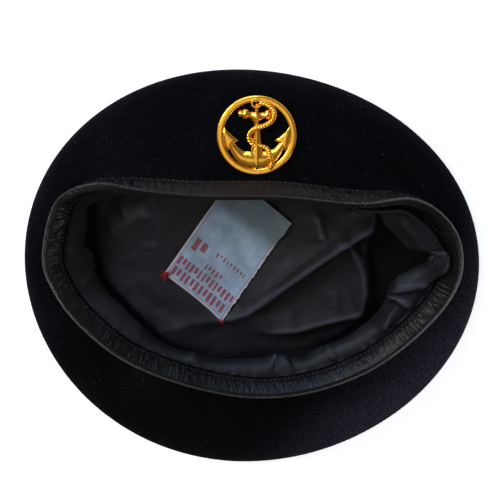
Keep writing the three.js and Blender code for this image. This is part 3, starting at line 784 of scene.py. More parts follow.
# Where the crown piece sinks away beside the lip: bearing in degrees, distance from the middle at
# which it starts to sink, and how deep it goes.
Gutter = namedtuple("Gutter", "bearing start depth")
GUTTERS = [
    Gutter(-40, 86, 4), Gutter(-28, 88, 6), Gutter(-20, 85.5, 6), Gutter(-8, 79.5, 6.5),
    Gutter(0, 76.5, 5.5), Gutter(11, 67.5, 4.5), Gutter(21, 62, 3.5), Gutter(33, 58, 2.5),
    Gutter(45, 54, 1.5), Gutter(60, 49, 1), Gutter(90, 44, 0.8), Gutter(110, 44, 1),
    Gutter(130, 50, 1.2), Gutter(147, 56.5, 2.5), Gutter(160, 60, 5), Gutter(170, 60, 7),
    Gutter(180, 59.5, 8), Gutter(190, 59, 8), Gutter(198, 61.5, 8), Gutter(204, 67, 7),
    Gutter(210, 72, 6), Gutter(218, 70, 3), Gutter(240, 60, 1), Gutter(270, 52, 1),
    Gutter(300, 61, 1),
]

# Folds of the loose cloth: a crest along a few places (x, y), its height, how far the cloth slopes
# away from it to the left and to the right of its direction, and how round it is.
Fold = namedtuple("Fold", "places height left right crest")
FLOOR_FOLDS = [
    Fold([(-68, -32), (-47, -21), (-34, -11), (-6, 11), (3, 18), (11, 21)], 9.5, 2.4, 18, 0.8),
    Fold([(-58, -38), (-44, -28), (-30, -15), (-16, -3), (-2, 8)], 1.3, 2.5, 7, 0.8),
    Fold([(53, 34), (36, 27.5), (18.6, 22), (1, 22.8), (-17.5, 23)], 2.6, 4, 13, 1.2),
    Fold([(-10, 30.6), (-25, 28.5), (-44, 23), (-62, 18.4)], 6.5, 10, 2.2, 0.8),
    Fold([(-50, -20), (-55, -11), (-59, 0), (-61, 9), (-62, 17)], 4.2, 2, 12, 0.8),
    Fold([(-43.7, 7), (-44.5, 16.6)], 1.2, 2.5, 4, 0.8),
    Fold([(51, -40), (67, -30), (76, -24)], 4.5, 7, 8, 2.5),
    Fold([(68.4, -43.5), (64.5, -35)], 2.5, 3, 3, 1.2),
    Fold([(49.6, -39), (50.6, -14.5)], 1.6, 2.5, 9, 1.5),
    Fold([(34.5, -34.5), (26.7, -35.6)], -1.2, 2, 2.5, 0.8),
    Fold([(-32.7, -37), (-36.6, -24)], 3, 2.5, 8, 1.0),
    Fold([(-49.7, -38.8), (-63.7, -37.4)], 2.2, 2, 3, 0.8),
    Fold([(70, -8), (60, 10), (44, 22)], -1.5, 6, 5, 2.0),
]
SIDE_FOLDS = [
    Fold([(-70.7, -47.8), (-79.5, -43.7), (-88.9, -37.9), (-96.1, -28.8), (-97.6, -23.5)],
         -3, 3, 3, 0.7),
    Fold([(-72, -43), (-82, -38.5), (-90, -32), (-94, -26)], -2.2, 2, 2, 0.6),
    Fold([(-103.5, -20.5), (-99.2, -8.6), (-93.6, -4.3), (-85.7, -3.3), (-73.8, 2.2)],
         4.5, 1.6, 11, 0.6),
    Fold([(-72.5, 5.5), (-79.3, 7.9), (-83.5, 10.9), (-86.2, 15.1)], 5, 9, 1.5, 0.6),
    Fold([(-78.2, 9.8), (-73.3, 16.2), (-69, 25.6)], 3, 3, 4, 0.7),
    Fold([(-12.2, 43.6), (-17.5, 36.3)], 2.6, 12, 0.8, 0.4),
    Fold([(93.5, -22.5), (80, -19)], 3.4, 1.4, 8, 0.5),
    Fold([(82, -6), (92, 0.5)], 2, 8, 2, 0.7),
    Fold([(93.5, -44.3), (90, -30)], 1.5, 3, 4, 1.0),
    Fold([(60, 22), (60, 34)], 1.0, 2, 5, 0.9),
    Fold([(34, 36), (30, 46)], 1.0, 4, 2, 0.8),
    Fold([(-40, 36), (-46, 44)], 1.2, 3, 4, 0.8),
]


def fold_height(x, y, fold):
    """The height that one fold adds at each place."""
    places = np.array(fold.places, float)
    steps = np.linalg.norm(np.diff(places, axis=0), axis=1)
    nearest = np.full(np.shape(x), 1e9)
    side, share = np.zeros(np.shape(x)), np.zeros(np.shape(x))
    for (ax, ay), (bx, by), step, before in zip(places, places[1:], steps, np.cumsum([0, *steps])):
        dx, dy = (bx - ax) / step, (by - ay) / step
        run = np.clip((x - ax) * dx + (y - ay) * dy, 0, step)
        away = np.hypot(x - ax - dx * run, y - ay - dy * run)
        closer = away < nearest
        nearest = np.where(closer, away, nearest)
        side = np.where(closer, dx * (y - ay) - dy * (x - ax), side)
        share = np.where(closer, (before + run) / steps.sum(), share)
    turn = smoothstep(side / (nearest + 1e-6), -0.6, 0.6)
    reach = fold.right + (fold.left - fold.right) * turn
    ends = smoothstep(share, -0.25, 0.2) * (1 - smoothstep(share, 0.8, 1.25))
    return fold.height * ends * np.exp(-(np.hypot(nearest, fold.crest) - fold.crest) / reach)


def value_noise(u, v, seed, around=64):
    """Smooth random values from 0 to 1 over cells one unit wide, which repeat round u."""
    table = np.random.default_rng(seed).random((around, 64))
    i, j = np.floor(u).astype(int), np.floor(v).astype(int)
    s, t = smoothstep(u - i, 0, 1), smoothstep(v - j, 0, 1)
    low, high = (table[i % around, row % 64] * (1 - s) + table[(i + 1) % around, row % 64] * s
                 for row in (j, j + 1))
    return low * (1 - t) + high * t


def crumples(x, y, size, seed):
    """Fine crease lines, from 0 to 1, between soft hollows of about that size."""
    bend = value_noise(x / size / 2, y / size / 2, seed + 1) * 1.6
    noise = value_noise((x + y * 0.4) / size + bend, (y - x * 0.3) / size - bend, seed)
    return (1 - np.abs(2 * noise - 1))**3


def round_table(table, bearing):
    """The other columns of a table of bearings, read off between its rows."""
    rows = np.array(table, float)
    full_turn = np.eye(1, rows.shape[1]) * 360
    rows = np.concatenate([rows - full_turn, rows, rows + full_turn])
    return [np.interp(bearing, rows[:, 0], column) for column in rows[:, 1:].T]


def floor_height(x, y):
    """Height of the middle of the crown piece, inside the opening and under the side."""
    x, y = np.asarray(x, float), np.asarray(y, float)
    share = np.hypot(x, y) / (edge_radius(np.arctan2(y, x)) - CAVITY_INSET)
    free = 1 - smoothstep(share, 0.62, 0.95)
    height = FLOOR_SWELL + sum(fold_height(x, y, fold) for fold in FLOOR_FOLDS)
    start, depth = round_table(GUTTERS, np.degrees(np.arctan2(y, x)))
    height = height - depth * smoothstep(np.hypot(x, y), start, start + 6)
    places = np.stack([x, y, 0 * x], axis=-1)
    height = height + soft_waves(places, 34, seed=8) * 0.45 + soft_waves(places, 13, seed=9) * 0.16
    height = height + crumples(x, y, 19, seed=4) * 0.55 + crumples(x, y, 8, seed=6) * 0.16
    return np.maximum(FLOOR_LEVEL + height * free, FLOOR_LEVEL - FLOOR_DIP)


def height_around(x, y, reach):
    """The mean height of the crown piece at eight places that far from each place."""
    turns = np.radians(range(0, 360, 45))
    around = [floor_height(x + reach * math.cos(a), y + reach * math.sin(a)) for a in turns]
    return np.mean(around, axis=0)


def creased(around, height):
    """From 0 to 1, how far a place lies under the cloth around it, where painted shade makes it
    dark.
    """
    return smoothstep(around - height, 0.12, 1.3)


def rubbed(around, height):
    """From 0 to 1, how far a place stands over the cloth around it, where wear and a painted
    highlight make it pale.
    """
    return smoothstep(height - around, 0.25, 1.2)


def side_relief(m, ring, t):
    """Folds, gathers at the seam and fine creases on the hanging side, along its normal."""
    folds = sum(fold_height(ring[:, 0], ring[:, 1], fold) for fold in SIDE_FOLDS)
    down = np.full(len(ring), t * 2.5)
    gathers = value_noise(m.travel / GATHER_PITCH, down, seed=21, around=GATHER_COUNT) - 0.5
    relief = folds * smoothstep(t, 0.02, 0.3) + gathers * GATHER_DEPTH * math.exp(-t * 7)
    relief = relief + soft_waves(ring, 22, seed=14) * 0.14 * smoothstep(t, 0, 0.3)
    return relief + crumples(ring[:, 0], ring[:, 1], 14, seed=15) * 0.22 * smoothstep(t, 0, 0.2)


def cover(m, t):
    """How the side stands off its straight line: it bellies in, and billows over the binding."""
    bearing = m.bearing % 360
    window = smoothstep(bearing, *COVER_FROM) * (1 - smoothstep(bearing, *COVER_TO))
    rise = COVER_RISE * math.sin(math.pi * min(1, t / 0.3))**1.5
    inward = COVER_IN * smoothstep(t, 0, 0.06) * (1 - smoothstep(t, 0.3, 0.8))
    belly = m.inward * BELLY * math.sin(math.pi * t)
    return belly + (m.rise * rise + m.inward * inward) * window[:, None]


def side_rings(m, hang_steps=26, curl_steps=5):
    """The middle of the side piece: down from its seam, round its lip, and back to its hem.

    With it come the creases and the crests, from 0 to 1 at each of its points.
    """
    radius, level = round_table(LIPS, m.bearing)
    scallop = (value_noise(m.travel / 8.5, 0 * m.travel, seed=31, around=64) - 0.5) * 0.7
    lip = radial(m.turn, radius + scallop, 0) + level[:, None] * [0, 0, 1]
    seam = m.base + m.inward * SEAM_IN - m.rise * SEAM_DROP
    shares = np.linspace(0, 1, hang_steps + 1)**1.35
    hang = np.array([seam * (1 - t) + lip * t + cover(m, t) for t in shares])
    normals = -grid_normals(hang)
    relief = np.array([side_relief(m, ring, t) for ring, t in zip(hang, shares)])
    beside = np.mean([np.roll(relief, shift, axis=1) for shift in (-9, -5, 5, 9)], axis=0)
    hang = hang + normals * relief[..., None]
    down, out = unit(hang[-1] - hang[-3]), normals[-1]
    middle = hang[-1] - out * CURL_RADIUS
    rings = list(hang)
    for k in range(1, curl_steps + 1):
        a = k / curl_steps * math.pi * 0.95
        rings.append(middle + CURL_RADIUS * (out * math.cos(a) + down * math.sin(a)))
    under = rings[-1]
    in_from_band = np.hypot(m.base[:, 0], m.base[:, 1]) - RETURN_INSET
    below = radial(m.turn, np.minimum(radius, in_from_band), RETURN_LEVEL)
    hem, *turn_up = (radial(m.turn, m.edge - CAVITY_INSET + row.outward, row.level) for row in HEM)
    for t in (0.1, 0.25, 0.45, 0.7, 0.9):
        rings.append((1 - t)**2 * under + 2 * (1 - t) * t * below + t**2 * hem)
    rings += turn_up
    creases, crests = np.zeros((2, len(rings), len(m.turn)))
    creases[:len(hang)] = creased(beside, relief)
    crests[:len(hang)] = rubbed(beside, relief)
    return np.array(rings), creases, crests


def sateen_material(name, light, dark):
    """Black sateen, paler on its crests with wear and a painted highlight, and darker and duller
    with painted shade in its creases and hollows.
    """
    material, tree, shader, place = new_material(name, roughness=0.5, specular=0.22)
    shade = patches(tree, place, 26, detail=3)
    clean = blended(tree, shade, dark, light)
    # Paler on the crests: partly wear, partly painted highlight.
    clean = blended(tree, painted(tree, "rubbed"), clean, [3 * value for value in light])
    soiled = painted(tree, "soiled")
    # Painted shade: near black in the creases and hollows.
    coloured(tree, shader, soiled, clean, (0.0016, 0.0015, 0.0016))
    matt = computed(tree, "MULTIPLY_ADD", soiled, 0.35, patches(tree, place, 60, 0.45, 0.6))
    feed(tree, shader.inputs["Roughness"], matt)
    threads = add_node(tree, "ShaderNodeTexWave", {
        "Vector": place, "Scale": 2200.0, "Distortion": 1.5}, bands_direction="DIAGONAL")
    bumped(tree, shader, threads.outputs["Fac"], 0.000012)
    shader.inputs["Sheen Weight"].default_value = 0.025
    shader.inputs["Sheen Roughness"].default_value = 0.35
    return material


def lining_side(columns=900):
    """The side piece, with painted shade in its creases and all over its left end."""
    m = Meridians(columns)
    middle, creases, crests = side_rings(m)
    normals = grid_normals(middle)
    rings = np.concatenate([middle - normals * CLOTH / 2, (middle + normals * CLOTH / 2)[::-1]])
    material = sateen_material("side_sateen", (0.0085, 0.0091, 0.0120), (0.0044, 0.0044, 0.0054))
    faces = ring_faces(len(rings), columns, closed=True)
    piece = new_piece("lining_side", rings.reshape(-1, 3), faces, material)
    # Painted shade: the left end is darkened all over, and elsewhere the creases.
    bearing = (m.bearing + 60) % 360 - 60
    left_end = smoothstep(bearing, -45, -30) * (1 - smoothstep(bearing, -2, 10))
    soiled = np.maximum(creases, left_end)
    paint(piece.data, "soiled", np.concatenate([soiled, soiled[::-1]]))
    # Paler crests, partly wear and partly painted highlight.
    paint(piece.data, "rubbed", np.concatenate([crests, crests[::-1]]))
    return piece


def lining_crown(columns=480, ring_count=86):
    """The crown piece, with painted shade in its creases and where it sinks away beside the lip."""
    turns = round_turns(columns)
    reach = edge_radius(turns) - CAVITY_INSET - 1.2
    rings = []
    for share in np.linspace(1, 0.012, ring_count):
        ring = radial(turns, reach * share, 0)
        ring[:, 2] = floor_height(ring[:, 0], ring[:, 1])
        rings.append(ring)
    middle = np.array(rings)
    normals = grid_normals(middle)
    rings = np.concatenate([(middle - normals * CLOTH / 2)[::-1], middle + normals * CLOTH / 2])
    centre = float(floor_height(0.0, 0.0))
    points, faces = bag_mesh(rings, [0, 0, centre + CLOTH / 2], [0, 0, centre - CLOTH / 2])
    points[:, 2] = np.maximum(points[:, 2], FELT_WALL + 0.6)
    material = sateen_material("crown_sateen", (0.0116, 0.0117, 0.0152), (0.0046, 0.0047, 0.0053))
    piece = new_piece("lining_crown", points, faces, material)
    x, y = points[:, 0], points[:, 1]
    start, depth = round_table(GUTTERS, np.degrees(np.arctan2(y, x)))
    # Painted shade where the cloth sinks away beside the lip, and in the creases.
    gutter = smoothstep(np.hypot(x, y), start - 2, start + 4) * np.minimum(depth / 6, 1)
    around, height = height_around(x, y, 3.5), floor_height(x, y)
    paint(piece.data, "soiled", np.maximum(creased(around, height), gutter))
    # Paler crests, partly wear and partly painted highlight.
    paint(piece.data, "rubbed", rubbed(around, height))
    return piece


side = lining_side()
crown_cloth = lining_crown()
for cloth in (side, crown_cloth):
    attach(cloth, "root")
    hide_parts("lining")

# -------------------------------------------------------------------------------------------- label
# The label is a small piece of pale blue-grey woven cotton with a red line inside its selvedge. It
# lies on the crown piece, up to the front of the opening, with red thread at its two rear corners.

# Its corners from above (x, y): rear left, rear right, front right and front left.
LABEL_CORNERS = [(46.1, -2.2), (15.7, 22.4), (-20.2, -32.7), (9.6, -57)]
LABEL_WIDE, LABEL_LONG, LABEL_THICK = 39.0, 65.8, 0.45
LABEL_LIFT = 0.9               # its underside stands this far off the middle of the lining
FRONT_RISE = 2.2               # and its front end rises this much further
SELVEDGE, RED_LINE = 0.75, (1.15, 1.6)

# Plain woven bars stand where such a label has its words, in rows down from its rear edge.
BarRow = namedtuple("BarRow", "top bottom left right pitch bar")
BAR_ROWS = [
    BarRow(2.2, 7.8, 2.3, 37, 2.9, 0.6), BarRow(9.2, 14.4, 1.9, 37.6, 2.6, 0.6),
    BarRow(15.9, 19.2, 15.5, 26, 2.3, 0.55), BarRow(20.6, 28, 3.4, 12.4, 4.6, 0.66),
    BarRow(25.6, 28, 17, 35, 2.2, 0.42),
]

# The red thread ends: where they stand, at what share of the label's width, how wide, how many.
Tuft = namedtuple("Tuft", "x y across width threads")
TUFTS = [Tuft(45.6, -1.6, 0, 3.2, 90), Tuft(16.2, 21.6, 1, 1.5, 12)]


def bar_mask(across, down):
    """1 on the woven bars, which alternate a full bar with a shorter one."""
    mask = np.zeros(across.shape)
    for row in BAR_ROWS:
        place = (across - row.left) / row.pitch
        number = np.floor(place)
        height = (down - row.top) / (row.bottom - row.top)
        tall = np.where(number % 3 == 1, 0.28, 0.0)
        inside = (across > row.left) & (across < row.right) & (place - number < row.bar)
        mask = np.maximum(mask, inside & (height > tall) & (height < 1))
    return mask


def label_middle(across, down):
    """The label's place at each share of its width and length."""
    rear_left, rear_right, front_right, front_left = np.array(LABEL_CORNERS, float)
    a, b = across[..., None], down[..., None]
    rear, front = rear_left * (1 - a) + rear_right * a, front_left * (1 - a) + front_right * a
    flat = rear * (1 - b) + front * b
    x, y = flat[..., 0], flat[..., 1]
    height = np.maximum(height_around(x, y, 6), floor_height(x, y)) + LABEL_LIFT
    height = height + FRONT_RISE * smoothstep(down, 0.72, 0.92)
    return np.stack([x, y, height], axis=-1)


def label_material():
    material, tree, shader, place = new_material("woven_cotton", roughness=0.85, specular=0.15)
    cloud = patches(tree, place, 110, detail=4)
    ground = blended(tree, cloud, (0.215, 0.285, 0.36), (0.34, 0.425, 0.54))
    red = computed(tree, "MULTIPLY", painted(tree, "red"), patches(tree, place, 900, 0.75, 1.0))
    dyed = blended(tree, red, ground, (0.235, 0.03, 0.045))
    edged = blended(tree, painted(tree, "selvedge"), dyed, (0.50, 0.42, 0.44))
    # Painted shadow and stains: dark green-grey at the front end, and in spots.
    coloured(tree, shader, painted(tree, "soiled"), edged, (0.105, 0.14, 0.135))
    cloth = add_node(tree, "ShaderNodeUVMap")
    warp = add_node(tree, "ShaderNodeTexWave", {"Vector": cloth.outputs["UV"], "Scale": 0.9})
    weft = add_node(tree, "ShaderNodeTexWave", {"Vector": cloth.outputs["UV"], "Scale": 0.7},
                    bands_direction="Y")
    weave = computed(tree, "MULTIPLY", warp.outputs["Fac"], weft.outputs["Fac"])
    bumped(tree, shader, weave, 0.00012)
    return material


def woven_label(columns=116, rows=190):
    across, down = np.meshgrid(np.linspace(0, 1, columns + 1), np.linspace(0, 1, rows + 1))
    fray = (value_noise(down * 46, 0 * down, seed=41) - 0.5) * 0.018 * smoothstep(across, 0.96, 1)
    lower = label_middle(across + fray, down)
    side, end = across * LABEL_WIDE, down * LABEL_LONG
    edge = np.minimum(np.minimum(side, LABEL_WIDE - side), np.minimum(end, LABEL_LONG - end))
    bars = bar_mask(side, end)
    line = ((edge > RED_LINE[0]) & (edge < RED_LINE[1])) * 0.75
    thick = LABEL_THICK + 0.12 * bars + 0.15 * smoothstep(edge, 1.7, 0.9)
    upper = lower + thick[..., None] * [0, 0, 1]
    size = columns + 1
    k = np.arange(size * (rows + 1)).reshape(rows + 1, size)
    quads = np.stack([k[:-1, :-1], k[:-1, 1:], k[1:, 1:], k[1:, :-1]], axis=-1).reshape(-1, 4)
    first = k.size
    border = [*k[0, :-1], *k[:-1, -1], *k[-1, :0:-1], *k[:0:-1, 0]]
    walls = [(a, b, first + b, first + a) for a, b in zip(border, border[1:] + border[:1])]
    faces = np.concatenate([quads, quads + first, walls]).tolist()
    points = np.concatenate([lower.reshape(-1, 3), upper.reshape(-1, 3)])
    piece = new_piece("woven_name_label", points, faces, label_material())
    paint(piece.data, "red", np.tile(np.maximum(bars, line).ravel(), 2))
    selvedge = 1 - smoothstep(edge, SELVEDGE - 0.2, SELVEDGE + 0.2)
    paint(piece.data, "selvedge", np.tile(selvedge.ravel(), 2))
    spots = value_noise(side / 7, end / 7, seed=43) > 0.6
    # Painted shadow: the front end darkens where it runs in under the binding. The spots are
    # stains.
    soiled = 0.75 * smoothstep(down, 0.66, 0.8) + 0.12 * spots
    paint(piece.data, "soiled", np.tile(soiled.ravel(), 2))
    threads = piece.data.uv_layers.new(name="threads")
    spread = np.tile(np.column_stack([side.ravel(), end.ravel()]), (2, 1))
    corner_vertices = np.zeros(len(piece.data.loops), int)
    piece.data.loops.foreach_get("vertex_index", corner_vertices)
    threads.data.foreach_set("uv", spread[corner_vertices].astype(np.float32).ravel())
    return piece


def red_thread_material():
    material, tree, shader, place = new_material("red_thread", roughness=0.7, specular=0.2)
    shade = patches(tree, place, 1200)
    coloured(tree, shader, shade, (0.24, 0.008, 0.012), (0.45, 0.03, 0.035))
    bumped(tree, shader, patches(tree, place, 3000), 0.00005)
    return material


label = woven_label()
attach(label, "root")
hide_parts("woven_label")

RED_THREAD = red_thread_material()
thread_end = curled_fibre(thickness=0.075)
for number, row in enumerate(TUFTS):
    height = label_middle(np.array(float(row.across)), np.array(0.0))[2] + LABEL_THICK
    spots = radial(round_turns(12), row.width / 2, 0) + [row.x, row.y, height]
    patch = new_mesh("patch", spots + TO_FRAME, [list(range(len(spots)))])
    paint(patch, "growth", np.ones(len(spots)))
    area = math.pi * (row.width / 2 * MM)**2
    tuft = made_by(SCATTER, f"label_tuft_{number + 1}", patch, Fibre=thread_end,
                   Material=RED_THREAD, Density=row.threads / area, Lean=0.9, Shortest=0.8,
                   Longest=2.6, Seed=17 + number)
    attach(tuft, "root")

# ------------------------------------------------------------------------------------------ binding
# One strip of thin black sheepskin is folded over the cut edge of the felt and stitched through.
# It is eased round the curves, so it is gathered in fine pleats, deepest inside at the left end.

LEATHER = 1.0
LEATHER_EDGE = 0.55            # the strip is skived thin at its two edges
PUFF = 0.55                    # and stands off the felt between them
BEAD_HEIGHT, BEAD_WIDTH = 0.4, 0.2     # the worn bead along the turn, its width in radians
BEAD_AT = math.radians(128)
PLEAT_ALONG, PLEAT_ACROSS = 1.45, 5.5
FINE_PLEAT_ACROSS = 2.2
RUFFLE_LENGTH, RUFFLE_DEPTH, RUFFLE_COUNT = 2.7, 0.9, 200
STITCH_PITCH, STITCH_LENGTH, STITCH_RADIUS = 2.6, 1.7, 0.26
STITCH_FROM_EDGE, STITCH_PULL = 1.5, 0.42
DULL_MIDDLE_X, DULL_HALF_X = 6, 34     # the front middle is handled most, and has gone brown
DULL_BEFORE_Y = -40

# How deep the pleats are on the two faces: bearing in degrees, inner face, outer face.
Pleats = namedtuple("Pleats", "bearing inner outer")
PLEATS = [
    Pleats(-30, 0.7, 0.5), Pleats(0, 0.75, 0.3), Pleats(30, 0.6, 0.25), Pleats(60, 0.42, 0.25),
    Pleats(90, 0.34, 0.25), Pleats(130, 0.36, 0.25), Pleats(165, 0.34, 0.35),
    Pleats(200, 0.36, 0.45), Pleats(217, 0.4, 0.95), Pleats(237, 0.3, 0.95), Pleats(252, 0.28, 0.2),
    Pleats(285, 0.3, 0.2), Pleats(300, 0.4, 0.95), Pleats(320, 0.6, 0.95),
]


def leg_point(h):
    """How far the leather stands off the felt at a share of its leg, and its rise from the rim."""
    skived = LEATHER_EDGE + (LEATHER - LEATHER_EDGE) * min(1, h * 5)
    return skived + PUFF * math.sin(math.pi * h)**0.8, -BAND_WIDTH + h * (BAND_WIDTH + FIT_GAP)


def binding_section(leg_steps=10, turn_steps=12):
    """Points of the leather's outside from its outer edge over the rim to its inner edge.

    Each is a place inward of the rim and up from it, and the same two of its way off the felt.
    """
    out_face, in_face = -FIT_GAP, BAND_WALL + FIT_GAP
    rows = []
    for k in range(leg_steps):
        thick, rise = leg_point(k / leg_steps)
        rows.append((out_face - thick, rise, -1, 0))
    middle, half = (out_face + in_face) / 2, (in_face - out_face) / 2 + LEATHER
    for k in range(turn_steps + 1):
        a = math.pi * (1 - k / turn_steps)
        bead = BEAD_HEIGHT * math.exp(-((a - BEAD_AT) / BEAD_WIDTH)**2)
        rise = FIT_GAP + (LEATHER * 0.9 + bead) * math.sin(a)
        rows.append((middle + (half + bead) * math.cos(a), rise, math.cos(a), math.sin(a)))
    for k in range(1, leg_steps + 1):
        thick, rise = leg_point(1 - k / leg_steps)
        rows.append((in_face + thick, rise, 1, 0))
    return np.array(rows)


def pleats(travel, length, across, seed):
    """Narrow ridges that run across the strip, from about -0.5 to 0.5."""
    cells = round(length / PLEAT_ALONG)
    u, v = travel / length * cells, np.full(len(travel), across)
    lean = value_noise(u / 9 % 64, 0 * u, seed + 5)
    slanted = u + 1.2 * lean * across / PLEAT_ACROSS
    wide = value_noise(slanted, v / PLEAT_ACROSS, seed, cells)
    fine = value_noise(2 * u, v / FINE_PLEAT_ACROSS, seed + 1, 2 * cells)
    return np.abs(2 * wide - 1) - 0.5 + 0.35 * (np.abs(2 * fine - 1) - 0.5)


def ruffles(m, seed):
    """Random values from 0 to 1 along the strip, in short waves."""
    return value_noise(m.travel / RUFFLE_LENGTH, 0 * m.travel, seed, around=RUFFLE_COUNT)


def binding_rings(m):
    """The leather's outside, pleated, ruffled at its edges and pulled in along the stitches."""
    section = binding_section()
    scallop = (ruffles(m, seed=53) - 0.5) * RUFFLE_DEPTH
    dip = 0.45 + 0.55 * np.cos(m.travel * 2 * math.pi / STITCH_PITCH)
    rings = []
    for (inward, rise, out, up), across in zip(section, travelled(section[:, :2])):
        inner = out > 0
        h = np.clip((rise + BAND_WIDTH) / BAND_WIDTH, 0, 1)
        depth = round_table(PLEATS, m.bearing)[0 if inner else 1]
        depth = depth * (0.35 + 0.65 * smoothstep(h, 0, 0.2)) * (1 - 0.55 * smoothstep(h, 0.8, 1))
        relief = depth * pleats(m.travel, m.length, across, seed=57)
        row = math.exp(-((rise + BAND_WIDTH - STITCH_FROM_EDGE) / 0.55)**2)
        relief = relief - STITCH_PULL * row * dip
        place = m.rim + m.inward * inward + m.rise * rise
        place = place + (m.inward * out + m.rise * up) * relief[:, None]
        rings.append(place + m.rise * (scallop * (1 - smoothstep(h, 0, 0.25)))[:, None])
    return np.array(rings), section


def leather_material():
    material, tree, shader, place = new_material("sheepskin", roughness=0.4, specular=0.11)
    shade = patches(tree, place, 45, detail=4)
    hide = blended(tree, shade, (0.0042, 0.0038, 0.0038), (0.0105, 0.0094, 0.0094))
    dull = painted(tree, "dull")
    browned = blended(tree, dull, hide, (0.0095, 0.0056, 0.0038))
    # The pale bead: partly worn leather, partly painted highlight, brightest at the right end.
    coloured(tree, shader, painted(tree, "wear"), browned, (0.19, 0.17, 0.15))
    polish = patches(tree, place, 130, 0.17, 0.38, detail=3)
    feed(tree, shader.inputs["Roughness"], computed(tree, "MULTIPLY_ADD", dull, 0.3, polish))
    pores = add_node(tree, "ShaderNodeTexVoronoi", {"Vector": place, "Scale": 1700.0})
    grain = computed(tree, "ADD", pores.outputs["Distance"], patches(tree, place, 800))
    bumped(tree, shader, grain, 0.00006)
    return material


def leather_binding(columns=1900):
    m = Meridians(columns)
    outside, section = binding_rings(m)
    felt_side = BAND_WALL + FIT_GAP
    corners = [(felt_side, -BAND_WIDTH), (felt_side, -4), (felt_side, FIT_GAP),
               (-FIT_GAP, FIT_GAP), (-FIT_GAP, -4), (-FIT_GAP, -BAND_WIDTH)]
    inside = np.array([m.rim + m.inward * i + m.rise * u for i, u in corners])
    for row, leg in ((0, -1), (5, 0)):
        shift = outside[leg] - (m.rim + m.inward * section[leg, 0] + m.rise * section[leg, 1])
        inside[row] += m.rise * dot(shift, m.rise)
    rings = np.concatenate([outside, inside])
    faces = ring_faces(len(rings), columns, closed=True)
    piece = new_piece("leather_edge", rings.reshape(-1, 3), faces, leather_material())
    off_bead = np.arctan2(section[:, 3], section[:, 2]) - BEAD_AT
    bead = np.exp(-(off_bead / 0.15)**2) * (section[:, 3] > 0)
    # Painted highlight: the worn bead grows paler towards the right end, where light strikes the
    # rim.
    scuff_and_light = 0.25 + 0.75 * smoothstep(-m.rim[:, 0], -20, 90)
    scuff_and_light = scuff_and_light * (0.6 + 0.4 * ruffles(m, seed=61))
    wear = np.concatenate([bead[:, None] * scuff_and_light, np.zeros((len(inside), columns))])
    paint(piece.data, "wear", wear)
    dull = np.exp(-((m.rim[:, 0] - DULL_MIDDLE_X) / DULL_HALF_X)**2)
    dull = dull * (m.rim[:, 1] < DULL_BEFORE_Y)
    paint(piece.data, "dull", np.broadcast_to(dull, (len(rings), columns)))
    return piece, outside, section


def stitch_tree():
    """Sews a row of stitches along a closed line."""
    tree, start, end = new_tree("stitch_row", "GeometryNodeTree", [
        ("Line", "Geometry"), ("Stitch", "Object"), ("Material", "Material"),
        ("Pitch", "Float")], ("Stitches", "Geometry"))
    line = add_node(tree, "GeometryNodeMeshToCurve", {"Mesh": start.outputs["Line"]})
    spots = add_node(tree, "GeometryNodeResampleCurve", {
        "Curve": line.outputs["Curve"], "Length": start.outputs["Pitch"]}, mode="LENGTH")
    tangent = add_node(tree, "GeometryNodeInputTangent")
    turn = add_node(tree, "FunctionNodeAlignRotationToVector", {"Vector": tangent.outputs[0]},
                    axis="Z")
    set_out(tree, start, end, "Stitch", {
        "Points": spots.outputs["Curve"], "Rotation": turn.outputs[0]})
    return tree


def stitch_shape(steps=9, sides=6):
    """One stitch: a thread that thins out at both ends, where it enters the leather."""
    shares = np.linspace(-1, 1, steps)
    path = np.column_stack([0 * shares, 0 * shares, shares * STITCH_LENGTH / 2])
    points, _ = tube(path, STITCH_RADIUS, sides)
    rings = points[:-2].reshape(steps, sides, 3)
    slim = np.sqrt(np.maximum(1 - shares**2, 0.06))[:, None, None]
    rings = path[:, None] + (rings - path[:, None]) * slim
    return new_object("stitch", new_mesh("stitch", *bag_mesh(rings, path[0], path[-1])))


def thread_material():
    material, tree, shader, place = new_material("waxed_thread", roughness=0.5, specular=0.4)
    shade = patches(tree, place, 400)
    coloured(tree, shader, shade, (0.010, 0.009, 0.009), (0.035, 0.032, 0.03))
    bumped(tree, shader, patches(tree, place, 4000), 0.00004)
    return material


binding, leather_outside, leather_section = leather_binding()
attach(binding, "root")
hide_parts("leather_binding")

STITCH_ROW = stitch_tree()
THREAD = thread_material()
stitch = stitch_shape()
off_stitches = np.abs(leather_section[:, 1] + BAND_WIDTH - STITCH_FROM_EDGE)
for face, leg in (("outer", leather_section[:, 2] < -0.9), ("inner", leather_section[:, 2] > 0.9)):
    ring = leather_outside[np.argmin(np.where(leg, off_stitches, 99))]
    edges = [(k, (k + 1) % len(ring)) for k in range(len(ring))]
    line = bpy.data.meshes.new("line")
    line.from_pydata(((ring + TO_FRAME) * MM).tolist(), edges, [])
    stitches = made_by(STITCH_ROW, f"{face}_stitches", line, Stitch=stitch, Material=THREAD,
                       Pitch=STITCH_PITCH * MM)
    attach(stitches, "root")
for shape in (spike, curl, thread_end, stitch):
    bpy.data.objects.remove(shape)

# ---------------------------------------------------------------------------------- floor and light
# A plain pale floor under soft studio light: a wide ceiling panel, a key panel at the front left, a
# low blue panel that skims the front of the binding, and one that skims the felt at the rear right.


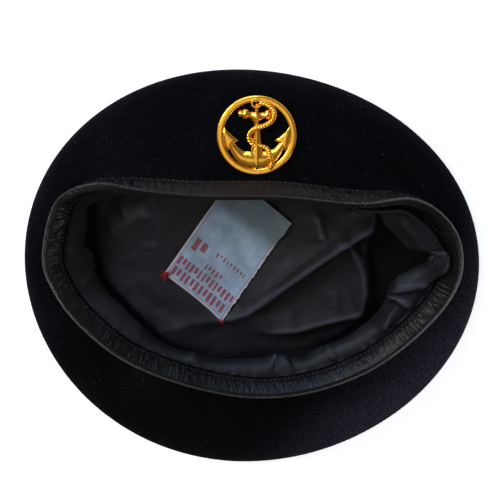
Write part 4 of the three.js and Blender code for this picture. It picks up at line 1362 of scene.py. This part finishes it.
def pale_floor(half=4.0):
    material, _, shader, _ = new_material("pale_floor", roughness=0.9, specular=0.1)
    shader.inputs["Base Color"].default_value = (0.8, 0.8, 0.8, 1)
    shader.inputs["Emission Color"].default_value = (1, 1, 1, 1)
    shader.inputs["Emission Strength"].default_value = 0.7
    mesh = bpy.data.meshes.new("floor")
    corners = [(-half, -half, 0), (half, -half, 0), (half, half, 0), (-half, half, 0)]
    mesh.from_pydata(corners, [], [(0, 1, 2, 3)])
    mesh.materials.append(material)
    return new_object("floor", mesh)


pale_floor()

# Where each panel hangs and what it points at in metres, its size, its power in watts and colour.
Panel = namedtuple("Panel", "name place aim size power colour")
PANELS = [
    Panel("ceiling", (0.25, -0.1, 1.3), (0, 0, 0), 1.1, 2.5, (1, 1, 1)),
    Panel("key", (0.8, -0.75, 0.8), (0, 0, 0.02), 0.5, 10.0, (0.95, 0.97, 1)),
    Panel("front", (0.2, -0.9, 0.42), (0, 0, 0.03), 0.5, 5.0, (0.45, 0.65, 1)),
    Panel("right", (-0.75, 0.6, 0.35), (0, 0, 0.02), 0.4, 2.2, (0.88, 0.86, 1)),
]


def facing(place, aim, right):
    """A turned place that looks at the aim, with its own right side towards the given side."""
    forward = (Vector(aim) - Vector(place)).normalized()
    side = (Vector(right) - forward * forward.dot(Vector(right))).normalized()
    up = side.cross(forward)
    turn = Matrix((side, up, -forward)).transposed().to_4x4()
    return Matrix.Translation(place) @ turn


for panel in PANELS:
    light = bpy.data.lights.new(panel.name, "AREA")
    light.size = panel.size
    light.energy = panel.power
    light.color = panel.colour
    new_object(panel.name, light).matrix_world = facing(panel.place, panel.aim, (1, 0.01, 0.01))

world = bpy.data.worlds.new("studio")
world.use_nodes = True
world.node_tree.nodes["Background"].inputs["Color"].default_value = (1, 1, 1, 1)
world.node_tree.nodes["Background"].inputs["Strength"].default_value = 0.18
bpy.context.scene.world = world
bpy.context.scene.view_settings.view_transform = "Standard"

# The camera stands over the front of the beret, which comes to the top of the picture.
CAMERA_PLACE, CAMERA_AIM = (0, -0.2629, 0.5799), (0.00105, -0.01924, 0.018)
lens = bpy.data.cameras.new("camera")
lens.lens = 85.85
lens.clip_end = 50
camera = new_object("camera", lens)
camera.matrix_world = facing(CAMERA_PLACE, CAMERA_AIM, (-1, 0, 0))
bpy.context.scene.camera = camera
